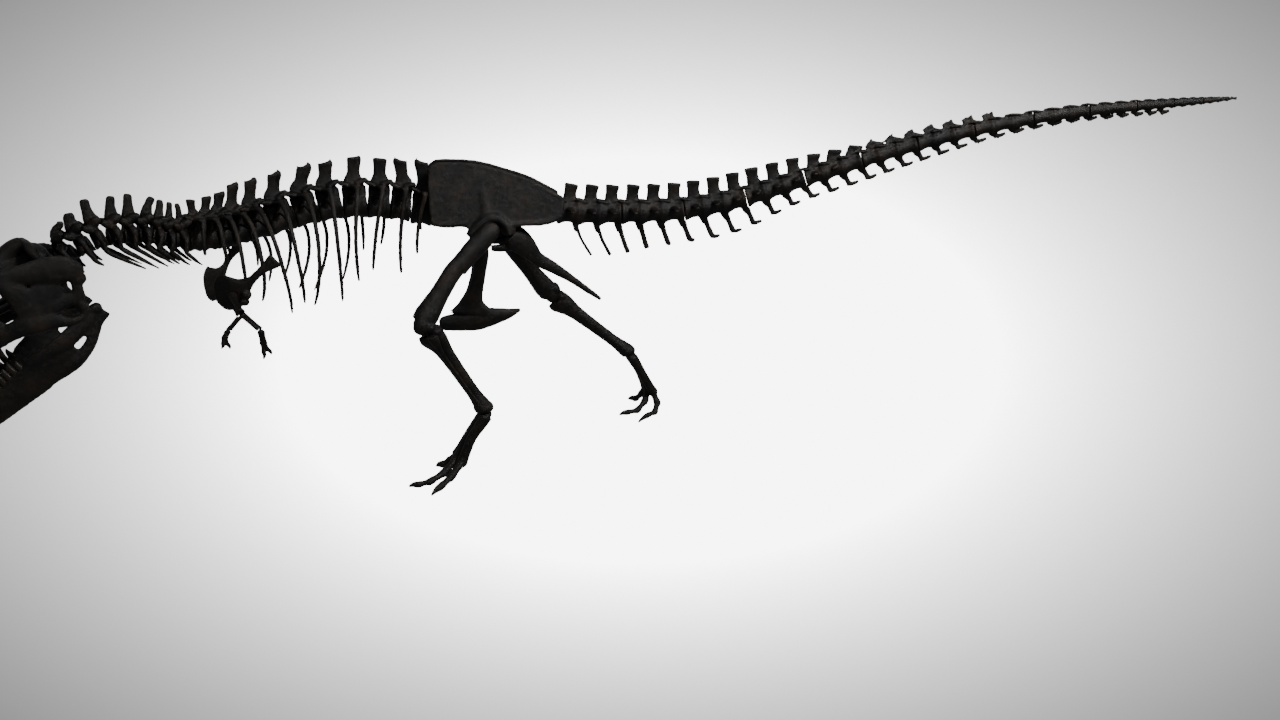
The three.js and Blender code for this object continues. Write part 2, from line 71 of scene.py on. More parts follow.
def limb(form, place, knots, up=(0, 0, 1), sides=10, rows=3):
    """A closed, smoothly tapering bone form. A knot is x, y, z, half width, half height, where the
    width lies across both the line and the up direction."""
    last_row = (len(knots) - 1) * rows
    nearby = 0.02
    edges = []
    before = None
    for row in range(last_row + 1):
        share = row / last_row
        x, y, z, wide, high = along(knots, share)
        ahead = Vector(along(knots, share + nearby)[:3])
        behind = Vector(along(knots, share - nearby)[:3])
        heading = (ahead - behind).normalized()
        side = Vector(up).cross(heading).normalized()
        lift = heading.cross(side)
        section = Matrix((side * max(wide, 1), lift * max(high, 1), heading)).transposed().to_4x4()
        section.translation = (x, y, z)
        section = place @ section
        if before is None:
            start = bmesh.ops.create_circle(form, cap_ends=True, segments=sides, radius=1, matrix=section)
            edges = list(dict.fromkeys(edge for vertex in start["verts"] for edge in vertex.link_edges))
        else:
            grown = bmesh.ops.extrude_edge_only(form, edges=edges)["geom"]
            rim = [part for part in grown if isinstance(part, bmesh.types.BMVert)]
            fresh = set(rim)
            bmesh.ops.transform(form, matrix=section @ before.inverted(), verts=rim)
            edges = [part for part in grown if isinstance(part, bmesh.types.BMEdge)
                     and all(end in fresh for end in part.verts)]
        before = section
    bmesh.ops.contextual_create(form, geom=edges)


def lump(form, place, centre, radii):
    """An egg-shaped swelling, such as the knuckle at a bone's end"""
    egg = place @ Matrix.Translation(centre) @ Matrix.Diagonal((*radii, 1))
    bmesh.ops.create_icosphere(form, subdivisions=3, radius=1, matrix=egg)


def pair(form, place, knots, **options):
    """The same limb on the left side and on the right"""
    for side in (-1, 1):
        limb(form, place, [(x, side * y, z, wide, high) for x, y, z, wide, high in knots], **options)


def pair_of_lumps(form, place, centre, radii):
    x, y, z = centre
    for side in (-1, 1):
        lump(form, place, (x, side * y, z), radii)


def shader_group(name, colours, output, kind):
    """An empty shader node group with its named colour inputs and its one output"""
    group = bpy.data.node_groups.new(name, "ShaderNodeTree")
    for label in colours:
        group.interface.new_socket(label, in_out="INPUT", socket_type="NodeSocketColor")
    group.interface.new_socket(output, in_out="OUTPUT", socket_type=kind)
    return group, group.nodes.new("NodeGroupInput"), group.nodes.new("NodeGroupOutput")


def noise(tree, scale, detail, roughness=0.6):
    """A noise texture on the piece's own coordinates"""
    texture = tree.nodes.new("ShaderNodeTexNoise")
    texture.inputs["Scale"].default_value = scale
    texture.inputs["Detail"].default_value = detail
    texture.inputs["Roughness"].default_value = roughness
    coordinates = tree.nodes.new("ShaderNodeTexCoord")
    tree.links.new(coordinates.outputs["Object"], texture.inputs["Vector"])
    return texture.outputs["Fac"]


def spread(tree, value, low, high, to_low=0.0, to_high=1.0):
    """A value's range from low to high spread over another range"""
    node = tree.nodes.new("ShaderNodeMapRange")
    node.inputs["From Min"].default_value = low
    node.inputs["From Max"].default_value = high
    node.inputs["To Min"].default_value = to_low
    node.inputs["To Max"].default_value = to_high
    tree.links.new(value, node.inputs["Value"])
    return node.outputs["Result"]


def blended(tree, factor, first, second):
    """Two colour sockets mixed"""
    node = tree.nodes.new("ShaderNodeMix")
    node.data_type = "RGBA"
    colour_inputs = [socket for socket in node.inputs if socket.type == "RGBA"]
    for colour, socket in zip((first, second), colour_inputs):
        tree.links.new(colour, socket)
    tree.links.new(factor, node.inputs["Factor"])
    return next(socket for socket in node.outputs if socket.type == "RGBA")


def arithmetic(tree, operation, *values):
    """One math step on sockets and plain numbers"""
    step = tree.nodes.new("ShaderNodeMath")
    step.operation = operation
    for slot, value in enumerate(values):
        if isinstance(value, (int, float)):
            step.inputs[slot].default_value = value
        else:
            tree.links.new(value, step.inputs[slot])
    return step.outputs["Value"]


# Minerals stained the bone unevenly: black in the mass, with brown and olive clouds
stain, stain_in, stain_out = shader_group(
    "mineral stain", ["Ground", "Cloud", "Bloom"], "Color", "NodeSocketColor")
clouds = spread(stain, noise(stain, 5.0, 6.0), 0.45, 0.7)
blooms = spread(stain, noise(stain, 14.0, 5.0), 0.58, 0.78)
cloudy = blended(stain, clouds, stain_in.outputs["Ground"], stain_in.outputs["Cloud"])
bloomed = blended(stain, blooms, cloudy, stain_in.outputs["Bloom"])
stain.links.new(bloomed, stain_out.inputs["Color"])

# Edges that stand proud are rubbed paler
worn, worn_in, worn_out = shader_group("worn edge", ["Color", "Rubbed"], "Color", "NodeSocketColor")
proud = worn.nodes.new("ShaderNodeAttribute")
proud.attribute_name = "proud"
edges_only = spread(worn, proud.outputs["Fac"], 0.05, 0.35)
patches = spread(worn, noise(worn, 22.0, 4.0), 0.42, 0.62)
rubbed_here = arithmetic(worn, "MULTIPLY", edges_only, patches)
rubbed_edge = blended(worn, rubbed_here, worn_in.outputs["Color"], worn_in.outputs["Rubbed"])
worn.links.new(rubbed_edge, worn_out.inputs["Color"])

# Fine pores, and long shallow wrinkles where muscle was fixed
relief, _, relief_out = shader_group("bone relief", [], "Height", "NodeSocketFloat")
pores = spread(relief, noise(relief, 160.0, 3.0, 0.7), 0.35, 0.6, -1.0, 0.0)
wrinkles = spread(relief, noise(relief, 34.0, 5.0, 0.65), 0.3, 0.7, -0.6, 0.6)
relief.links.new(arithmetic(relief, "ADD", pores, wrinkles), relief_out.inputs["Height"])


def fossil(name, ground, cloud, bloom, rubbed, gloss, bump, specular):
    """A fossil finish: stained colour, rubbed edges, uneven gloss and pores"""
    material = bpy.data.materials.new(name)
    material.use_nodes = True
    tree = material.node_tree
    shader = tree.nodes["Principled BSDF"]
    shader.inputs["Specular IOR Level"].default_value = specular
    stained = tree.nodes.new("ShaderNodeGroup")
    stained.node_tree = stain
    for label, colour in (("Ground", ground), ("Cloud", cloud), ("Bloom", bloom)):
        stained.inputs[label].default_value = (*colour, 1)
    edges = tree.nodes.new("ShaderNodeGroup")
    edges.node_tree = worn
    edges.inputs["Rubbed"].default_value = (*rubbed, 1)
    tree.links.new(stained.outputs["Color"], edges.inputs["Color"])
    tree.links.new(edges.outputs["Color"], shader.inputs["Base Color"])
    uneven_gloss = spread(tree, noise(tree, 9.0, 5.0), 0.3, 0.7, *gloss)
    tree.links.new(uneven_gloss, shader.inputs["Roughness"])
    texture = tree.nodes.new("ShaderNodeGroup")
    texture.node_tree = relief
    raised = tree.nodes.new("ShaderNodeBump")
    raised.inputs["Distance"].default_value = 0.002
    raised.inputs["Strength"].default_value = bump
    tree.links.new(texture.outputs["Height"], raised.inputs["Height"])
    tree.links.new(raised.outputs["Normal"], shader.inputs["Normal"])
    return material


black_bone = fossil(
    "black fossil bone", ground=(0.0035, 0.003, 0.0026), cloud=(0.018, 0.012, 0.008),
    bloom=(0.02, 0.019, 0.013), rubbed=(0.05, 0.038, 0.027), gloss=(0.28, 0.5), bump=0.7, specular=0.3)

# Small hollows and swellings all over the bones, a few millimetres deep
pitting = bpy.data.textures.new("pitting", "CLOUDS")
pitting.noise_scale = 0.045
pitting.noise_depth = 3


def mark_proud_edges(mesh, reach):
    """Stores at each point how far it stands above its neighbours, as a share of the reach"""
    count = len(mesh.vertices)
    places = numpy.empty(count * 3)
    mesh.vertices.foreach_get("co", places)
    normals = numpy.empty(count * 3)
    mesh.vertices.foreach_get("normal", normals)
    ends = numpy.empty(len(mesh.edges) * 2, dtype=numpy.int64)
    mesh.edges.foreach_get("vertices", ends)
    places, normals, ends = places.reshape(-1, 3), normals.reshape(-1, 3), ends.reshape(-1, 2)
    both_ways = numpy.vstack((ends, ends[:, ::-1]))
    neighbours = numpy.bincount(both_ways[:, 0], minlength=count).clip(1)

    def mean_of_neighbours(values):
        totals = numpy.bincount(both_ways[:, 0], weights=values[both_ways[:, 1]], minlength=count)
        return totals / neighbours

    middle = numpy.stack([mean_of_neighbours(places[:, axis]) for axis in range(3)], axis=1)
    height = ((places - middle) * normals).sum(axis=1) / reach
    smoothing_rounds = 3
    for _ in range(smoothing_rounds):
        height = mean_of_neighbours(height)
    mesh.attributes.new("proud", "FLOAT", "POINT").data.foreach_set("value", height.astype(numpy.float32))


def carve(name, form, grain=0.010, pits=0.006, melt=True, material=black_bone):
    """Finishes a form. Overlapping forms melt into one bone, which takes the plain solid's place."""
    mesh = bpy.data.meshes.new(name)
    form.to_mesh(mesh)
    form.free()
    mesh.transform(ON_THE_GROUND)
    bone = bpy.data.objects.new(name, mesh)
    bpy.context.scene.collection.objects.link(bone)
    if melt:
        remesh = bone.modifiers.new("melt", "REMESH")
        remesh.mode = "VOXEL"
        remesh.voxel_size = grain
        soften = bone.modifiers.new("soften", "SMOOTH")
        soften.factor = 0.5
        soften.iterations = 3
        pit = bone.modifiers.new("pit", "DISPLACE")
        pit.texture = pitting
        pit.texture_coords = "LOCAL"
        pit.strength = pits
        melted = bone.evaluated_get(bpy.context.evaluated_depsgraph_get())
        settled = bpy.data.meshes.new_from_object(melted)
        bone.modifiers.clear()
        bone.data = settled
        bpy.data.meshes.remove(mesh)
        settled.name = name
    mark_proud_edges(bone.data, grain)
    bone.data.materials.clear()
    bone.data.materials.append(material)
    bone.data.polygons.foreach_set("use_smooth", [True] * len(bone.data.polygons))
    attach(bone, "root")
    if melt:
        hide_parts(name)


def fade(value, start, end):
    """0 before the start, 1 after the end, and a smooth change between them"""
    t = min(max((value - start) / (end - start), 0), 1)
    return t * t * (3 - 2 * t)


def swell(share, stretch=1.0):
    """Rises from 0 to 1 and falls back to 0 along a row of bones"""
    return math.sin(min(share * stretch, 1) * math.pi)


STEPS_A_STRETCH = 60
HEADING_REACH = 20


class SpineLine:
    """The smooth line through the middle of the vertebrae"""

    def __init__(self, points):
        steps = STEPS_A_STRETCH * (len(points) - 1)
        self.points = [Vector(along(points, i / steps)) for i in range(steps + 1)]
        self.reached = [0.0]
        for a, b in zip(self.points, self.points[1:]):
            self.reached.append(self.reached[-1] + (b - a).length)
        self.length = self.reached[-1]

    def point(self, distance):
        distance = min(max(distance, 0), self.length)
        i = max(1, next(k for k, reached in enumerate(self.reached) if reached >= distance))
        part = (distance - self.reached[i - 1]) / (self.reached[i] - self.reached[i - 1])
        return self.points[i - 1].lerp(self.points[i], part)

    def heading(self, distance):
        return (self.point(distance + HEADING_REACH) - self.point(distance - HEADING_REACH)).normalized()

    def place(self, distance):
        """Where a vertebra sits, with its x axis toward the tail"""
        heading = self.heading(distance)
        side = Vector((0, 0, 1)).cross(heading).normalized()
        place = Matrix((heading, side, heading.cross(side))).transposed().to_4x4()
        place.translation = self.point(distance)
        return place


NECK_AND_BACK = SpineLine([
    (-3400, -1108, 2350), (-3326, -1087, 2385), (-3167, -1038, 2475), (-2972, -956, 2534),
    (-2767, -834, 2515), (-2619, -736, 2455), (-2443, -613, 2413), (-2254, -477, 2409),
    (-2020, -327, 2438), (-1635, -165, 2515), (-1235, -72, 2555), (-835, -14, 2511), (-631, 0, 2458),
    (-318, 0, 2415),
])
NECK_LENGTHS = [145, 118, 106, 108, 104, 90, 84, 92, 110]
NECK_SPINE_LEAN = [110, 20, 20, 30, 5, 60, -20, -10, -25]
NECK_SPINE_TIPS = [225, 264, 320, 308, 322, 304, 296, 298, 296]
NECK_SPINE_HALVES = [28, 40, 36, 34, 34, 32, 28, 24, 22]
NECK_RIB_REACH = [20, 45, 200, 240, 235, 205, 190, 170, 150]
BACK_LENGTHS = [116, 118, 120, 145, 200, 225, 215, 215, 215, 200, 190, 200, 210]
ATLAS_AHEAD = 44


def spool(form, place, half, wide, high, waist=0.76):
    """A vertebra's body: round ends with rims and a drawn-in waist"""
    rim = (wide * 0.9, high * 0.9)
    flare = (wide * (waist + 0.08), high * (waist + 0.1))
    limb(form, place, [
        (-half, 0, 0, *rim), (-half * 0.9, 0, 0, wide, high), (-half * 0.5, 0, 2, *flare),
        (0, 0, 4, wide * waist, high * (waist + 0.06)),
        (half * 0.5, 0, 2, *flare), (half * 0.9, 0, 0, wide, high), (half, 0, 0, *rim),
    ], sides=16, rows=2)


distance = NECK_AND_BACK.length - sum(BACK_LENGTHS) - sum(NECK_LENGTHS)
form = bmesh.new()
place = NECK_AND_BACK.place(distance - ATLAS_AHEAD)
half_ring = [(0, 20, -62, 34, 26), (0, 74, -20, 34, 26), (0, 66, 44, 30, 22), (0, 20, 66, 26, 18)]
pair(form, place, half_ring, up=TAILWARD)
limb(form, place, [(0, -44, -58, 34, 24), (0, 0, -70, 36, 26), (0, 44, -58, 34, 24)])
limb(form, place, [(0, -40, 62, 24, 18), (0, 0, 74, 24, 20), (0, 40, 62, 24, 18)])
carve("atlas", form, grain=0.007)

for i, spacing in enumerate(NECK_LENGTHS):
    share = i / (len(NECK_LENGTHS) - 1)
    half = (spacing - DISC_GAP) / 2
    depth = 64 + 14 * share
    body_width = 70 + 10 * share
    spine_tip, spine_half = NECK_SPINE_TIPS[i], NECK_SPINE_HALVES[i]
    rib_reach = NECK_RIB_REACH[i]
    rib_fall = rib_reach * (0.62 + 1.1 * NECK_AND_BACK.heading(distance + spacing / 2).z)
    lean = 22 - 34 * share + NECK_SPINE_LEAN[i]
    process_height = 40 - 30 * share
    form = bmesh.new()
    place = NECK_AND_BACK.place(distance + spacing / 2)
    spool(form, place, half, body_width, depth)
    arch = [(0, 0, depth * 0.5, 48, half * 0.8), (2, 0, 96, 44, half * 0.7), (4, 0, 128, 34, half * 0.5)]
    limb(form, place, arch, up=TAILWARD)
    spine = [
        (lean * 0.2, 0, 116, 32, half * (0.6 if i == 0 else 1)),
        (lean * 0.3, 0, 160, 26, spine_half * 1.5),
        (lean * 0.5, 0, (160 + spine_tip) / 2, 18, spine_half * 1.08),
        (lean * 0.85, 0, spine_tip - 22, 18, spine_half), (lean, 0, spine_tip, 14, spine_half * 0.72),
    ]
    limb(form, place, spine, up=TAILWARD)
    if i > 0:
        pair(form, place, [(-half * 0.2, 34, 96, 30, 36), (-half * 0.8, 52, 110, 30, 36),
                           (-half - 22, 56, 132, 20, 20)])
    pair(form, place, [(0, 30, 120, 32, 38), (half * 0.7, 46, 146, 30, 36), (half + 22, 52, 160, 22, 20)])
    pair(form, place, [(4, 30, 72, half * 0.6, 24), (8, 84, process_height + 34, 30, 20),
                       (8, 116, process_height, 24, 22)])
    neck_rib = [
        (8, 116, process_height, 20, 20), (10, 122, -30, 17, 20), (spacing * 0.1, 118, -84, 16, 20),
        (rib_reach * 0.36, 120, -104 - rib_fall * 0.32, 15, 18),
        (rib_reach * 0.7, 112, -122 - rib_fall * 0.66, 12, 14), (rib_reach, 104, -130 - rib_fall, 7, 8),
    ]
    pair(form, place, neck_rib, up=TAILWARD, sides=8)
    pair(form, place, [(0, 50, -34, 24, 20), (4, 88, -58, 20, 18), (8, 116, -74, 17, 16)])
    carve(f"neck_vertebra_{i + 2}", form, grain=0.008)
    distance += spacing

# Back vertebrae and ribs
# Thirteen vertebrae carry the chest. Broad bars stand out from each arch, and the ribs hang from
# them: each rib rests on its bar and on the vertebra's body, bows outward and curves down to a thin end.
BACK_SPINE_LEAN = [10, 35, 35, 35, 25, 25, 60, 20, 35, 35, 5, 0, 10]
BACK_SPINE_TIPS = [330, 348, 364, 410, 406, 404, 406, 406, 434, 434, 436, 466, 440]
LAST_BACK = len(BACK_LENGTHS) - 1
RIB_BEHIND = 16

# How far each rib falls, how far it sweeps toward the tail, and how its lower part bends on from there
RIBS = {
    -1: {
        "drop": [280, 380, 670, 720, 900, 855, 920, 965, 827, 740, 770, 560, 260],
        "sweep": [-100, -100, -80, -50, 40, -60, 50, -40, -225, -245, -220, -230, -120],
        "bend": [60, 100, 70, 40, 60, 95, -125, 20, 140, 80, 105, 105, 60],
    },
    1: {
        "drop": [280, 400, 560, 760, 760, 920, 975, 935, 670, 600, 365, 400, 230],
        "sweep": [380, 600, 1100, 1340, 1340, 1270, 960, 660, 200, 135, -70, -185, -100],
        "bend": [-250, -360, -730, -990, -1050, -1090, -905, -590, -165, -175, 45, 115, 50],
    },
}

for i, spacing in enumerate(BACK_LENGTHS):
    share = i / LAST_BACK
    half = (spacing - DISC_GAP) / 2
    depth = 98 + 24 * share
    body_width = 84 + 14 * share
    arch = 178 + 26 * share
    span = 165 + 50 * swell(share) if i < LAST_BACK else 100
    bow = 250 * swell(share, 1.2) + 30 * (1 - share)
    slope = NECK_AND_BACK.heading(distance + spacing / 2).z
    spine_tip = BACK_SPINE_TIPS[i]
    spine_half = 37 + 25 * min(share * 2, 1)
    lean = 6 - 14 * share + slope * 260 + BACK_SPINE_LEAN[i]

    form = bmesh.new()
    place = NECK_AND_BACK.place(distance + spacing / 2)
    spool(form, place, half, body_width, depth, waist=0.8)
    limb(form, place, [(0, 0, depth * 0.5, 58, half), (0, 0, arch * 0.68, 54, half * 1.08),
                       (0, 0, arch - 14, 46, half * 1.04)], up=TAILWARD)
    limb(form, place, [
        (0, 0, arch - 16, 32, half * 0.92), (2, 0, arch + 38, 26, spine_half * 1.42),
        (lean * 0.35, 0, arch + 0.45 * (spine_tip - arch), 19, spine_half * 0.96),
        (lean * 0.75, 0, arch + 0.8 * (spine_tip - arch), 22, spine_half * 1.02),
        (lean, 0, spine_tip - 4, 27, spine_half * 1.06), (lean, 0, spine_tip + 4, 22, spine_half * 0.8),
    ], up=TAILWARD, sides=12)
    pair(form, place, [(-half * 0.2, 30, arch - 20, 32, 34), (-half * 0.8, 42, arch + 4, 30, 26),
                       (-half - 34, 44, arch + 20, 21, 13)])
    pair(form, place, [(half * 0.2, 26, arch + 4, 30, 32), (half * 0.75, 36, arch + 30, 28, 24),
                       (half + 26, 40, arch + 40, 21, 13)])
    pair(form, place, [(0, 26, arch - 30, half * 0.62, 30), (6, span * 0.55, arch - 8, 44, 20),
                       (12, span, arch + 6, 34, 19)], sides=12)
    pair(form, place, [(-half * 0.45, body_width * 0.7, 44, 26, 24),
                       (-half * 0.2, body_width * 0.95, arch * 0.6, 16, 18),
                       (6, span * 0.7, arch - 18, 20, 14)])
    for side, rib in RIBS.items():
        drop, sweep, bend = rib["drop"][i], rib["sweep"][i], rib["bend"][i]

        def on_rib(fall, across, thick, broad):
            x = sweep * fall + bend * fall ** 2 + RIB_BEHIND - drop * fall * slope
            return x, side * across, arch - drop * fall, thick, broad

        limb(form, place, [(-half * 0.5, side * body_width * 0.86, 52, 20, 20),
                           (-half * 0.2, side * span * 0.8, arch * 0.52, 13, 16),
                           on_rib(0.16, span + bow * 0.52, 14, 18)], sides=8)
        limb(form, place, [
            (12, side * (span - 10), arch + 4, 19, 25), on_rib(0.07, span + bow * 0.34, 16, 25),
            on_rib(0.18, span + bow * 0.66, 15, 23), on_rib(0.34, span + bow * 0.9, 15, 22),
            on_rib(0.52, span + bow, 14, 21), on_rib(0.7, span + bow * 0.98, 13, 20),
            on_rib(0.86, span + bow * 0.8, 12, 19), on_rib(0.98, span + bow * 0.54, 10, 15),
            on_rib(1.01, span + bow * 0.48, 6, 8),
        ], up=TAILWARD, sides=8, rows=4)
    carve(f"back_vertebra_{i + 1}", form, grain=0.010, pits=0.004)
    distance += spacing

# Sacrum
# Five vertebrae grown into one bar. Their spines are fused to a tall plate, and five pairs of short
# stout ribs brace it against the hip bones on both sides.
SACRUM_FRONT, SACRUM_REAR = -302, 646
SACRUM_HEIGHT, SACRUM_RISE = 2412, 0.06
SACRAL_VERTEBRAE = 5
SACRAL_PLATE = [
    (-290, 2440), (630, 2490), (634, 2596), (500, 2664), (390, 2716), (200, 2790), (-100, 2880),
    (-290, 2886),
]


def slab(form, place, outline, thickness):
    """A flat plate with the given outline of x and z, centred on y"""
    rim = [form.verts.new((x, -thickness / 2, z)) for x, z in outline]
    face = form.faces.new(rim)
    grown = bmesh.ops.extrude_face_region(form, geom=[face], use_keep_orig=True)["geom"]
    far = [part for part in grown if isinstance(part, bmesh.types.BMVert)]
    bmesh.ops.translate(form, vec=(0, thickness, 0), verts=far)
    bmesh.ops.transform(form, matrix=place, verts=rim + far)


def sacral_height(x):
    return SACRUM_HEIGHT + SACRUM_RISE * (x - SACRUM_FRONT)


HIPS = Matrix.Identity(4)
form = bmesh.new()
slab(form, HIPS, SACRAL_PLATE, 46)
length = (SACRUM_REAR - SACRUM_FRONT) / SACRAL_VERTEBRAE
for i in range(SACRAL_VERTEBRAE):
    x = SACRUM_FRONT + (i + 0.5) * length
    z = sacral_height(x)
    spool(form, Matrix.Translation((x, 0, z - 4 * i)), length / 2 + 3, 92, 98 + 7 * i, waist=0.8)
    limb(form, HIPS, [(x, 0, z + 60, 52, 60), (x, 0, z + 170, 36, 52)], up=TAILWARD)
    limb(form, HIPS, [(x, 0, z + 160, 34, 44), (x - 20, 0, 2800 - 0.3 * (x + 300), 30, 40)], up=TAILWARD)
    pair(form, HIPS, [(x, 60, z + 10, 48, 44), (x, 110, z + 20, 34, 42), (x, 160, z + 40, 46, 66)])
carve("sacrum", form, grain=0.0125)

# Hip bones
# The two ilia are tall blades that lean together at the top. Each is thickened into a rim over the
# hip socket, with a foot in front for the pubis and one behind for the ischium.
ILIUM_OUTLINE = [
    (-548, 2374), (-556, 2520), (-552, 2700), (-535, 2870), (-480, 2915), (-400, 2932), (-250, 2926),
    (-100, 2910), (60, 2870), (200, 2820), (390, 2750), (560, 2655), (680, 2590), (698, 2540),
    (692, 2450), (650, 2370), (540, 2338), (450, 2325), (300, 2334), (230, 2325), (206, 2250),
    (110, 2256), (84, 2320), (0, 2376), (-66, 2330), (-96, 2226), (-190, 2234), (-222, 2340),
    (-300, 2352), (-380, 2346), (-470, 2352),
]
BLADE_LEAN = 0.19
BLADE_HALF_SPAN = 235


def leaning(side):
    """Turns an upright blade into one that leans in at the top, on the left or the right"""
    lean = Matrix.Identity(4)
    lean[1][2] = -BLADE_LEAN * side
    lean[1][3] = side * (BLADE_HALF_SPAN + BLADE_LEAN * HIP_HEIGHT)
    return lean


for side, name in ((-1, "ilium_left"), (1, "ilium_right")):
    blade = leaning(side)
    form = bmesh.new()
    slab(form, blade, ILIUM_OUTLINE, 34)
    limb(form, blade, [
        (-210, side * 6, 2262, 42, 40), (-150, side * 16, 2330, 44, 34), (-60, side * 28, 2402, 46, 30),
        (20, side * 32, 2424, 46, 30), (90, side * 26, 2398, 44, 32), (150, side * 14, 2330, 44, 40),
        (160, side * 4, 2262, 44, 44),
    ], up=(0, 1, 0), sides=12)
    ridge = [(-30, side * 10, 2420, 22, 60), (-50, side * 12, 2560, 16, 44), (-70, side * 8, 2740, 12, 30)]
    limb(form, blade, ridge, up=TAILWARD)
    limb(form, blade, [(150, side * 4, 2350, 26, 24), (330, side * 6, 2356, 26, 28),
                       (520, side * 2, 2366, 24, 32), (664, 0, 2420, 20, 34)])
    limb(form, blade, [(-220, 0, 2380, 22, 30), (-380, 0, 2376, 22, 28), (-530, 0, 2396, 20, 30)])
    limb(form, blade, [
        (-535, 0, 2850, 22, 22), (-480, 0, 2900, 22, 20), (-400, 0, 2916, 22, 18), (-100, 0, 2896, 22, 18),
        (200, 0, 2806, 22, 18), (390, 0, 2736, 22, 18), (560, 0, 2642, 22, 20), (684, 0, 2566, 22, 22),
    ])
    carve(name, form, grain=0.0125)

# Pubis
# Two slender shafts run down from the hip sockets, meet halfway, and end in one long boot-shaped foot.
form = bmesh.new()
limb(form, HIPS, [
    (-548, 0, 1356, 22, 40), (-510, 0, 1358, 34, 74), (-350, 0, 1366, 52, 98), (-190, 0, 1380, 62, 118),
    (-60, 0, 1392, 56, 100), (60, 0, 1408, 46, 74), (150, 0, 1422, 34, 50), (250, 0, 1450, 12, 18),
], sides=14, rows=4)
pair(form, HIPS, [
    (-140, 215, 2212, 52, 72), (-114, 190, 2130, 48, 76), (-108, 150, 2050, 42, 74),
    (-136, 96, 1860, 36, 66), (-186, 54, 1660, 34, 80), (-214, 36, 1560, 34, 118),
    (-226, 30, 1450, 34, 220),
], up=TAILWARD, sides=14, rows=4)
web = [(-150, 0, 1850, 60, 34), (-200, 0, 1640, 42, 60), (-226, 0, 1480, 40, 130)]
limb(form, HIPS, web, up=TAILWARD)
carve("pubis", form, grain=0.011)

# Ischium
# Two rods run back and down behind the pubis. They are broad at the socket and join at their thin ends.
form = bmesh.new()
pair(form, HIPS, [
    (170, 206, 2240, 40, 66), (215, 196, 2196, 42, 100), (300, 168, 2134, 38, 106),
    (380, 132, 2052, 34, 88), (450, 96, 1956, 32, 62), (590, 55, 1866, 30, 54), (770, 30, 1738, 26, 38),
    (940, 18, 1606, 22, 29), (1066, 12, 1508, 16, 18),
], sides=12, rows=4)
pair(form, HIPS, [(236, 188, 2160, 36, 64), (120, 178, 2126, 32, 44), (-10, 170, 2122, 24, 32)])
carve("ischium", form, grain=0.010)

# Legs
# Each leg has a stout thigh bone with a round head in the socket, a shin bone with a crest in front,
# a thin fibula outside it, and a foot of three pressed metatarsals and three clawed toes.
HIP_HALF_WIDTH = 260
ACROSS_SHIN = (-1, 0, 0.4)
SOLE_HEIGHT = 4
LEGS = {
    "left": {
        "side": -1,
        "knee": (-708, -660, 1560),
        "shin": (-640, -660, 1520),
        "ankle": (-170, -550, 622),
        "toes": [
            [(-178, -488, 592), (-332, -482, 385), (-470, -460, 158), (-556, -440, 78), (-622, -426, 40),
             (-690, -405, 12)],
            [(-192, -550, 582), (-338, -548, 385), (-480, -560, 150), (-612, -690, 76), (-745, -785, 46),
             (-850, -800, 36), (-945, -775, 12)],
            [(-173, -612, 592), (-327, -625, 385), (-435, -645, 150), (-550, -785, 72), (-645, -890, 40),
             (-739, -1003, 12)],
        ],
    },
    "right": {
        "side": 1,
        "knee": (622, 470, 1445),
        "shin": (645, 470, 1435),
        "ankle": (1474, 470, 730),
        "toes": [
            [(1485, 408, 700), (1605, 440, 485), (1735, 470, 245), (1776, 420, 124), (1730, 350, 44),
             (1640, 304, 36), (1497, 181, 12)],
            [(1483, 470, 695), (1597, 510, 490), (1702, 552, 250), (1650, 500, 124), (1550, 440, 44),
             (1430, 430, 36), (1334, 428, 12)],
            [(1475, 532, 700), (1592, 590, 490), (1690, 650, 250), (1660, 720, 124), (1610, 790, 42),
             (1530, 870, 12)],
        ],
    },
}


def between(a, b, share, shift=(0, 0, 0)):
    """A point part of the way from one to another, moved by the shift"""
    return tuple(p + (q - p) * share + s for p, q, s in zip(a, b, shift))


def moved(point, shift):
    return between(point, point, 0, shift)


def shaft(a, b, *steps):
    """Knots on the way from a to b. A step is its share of the way, half width, half height and, where
    it leaves the straight line, a shift."""
    return [(*between(a, b, share, *shift), wide, high) for share, wide, high, *shift in steps]


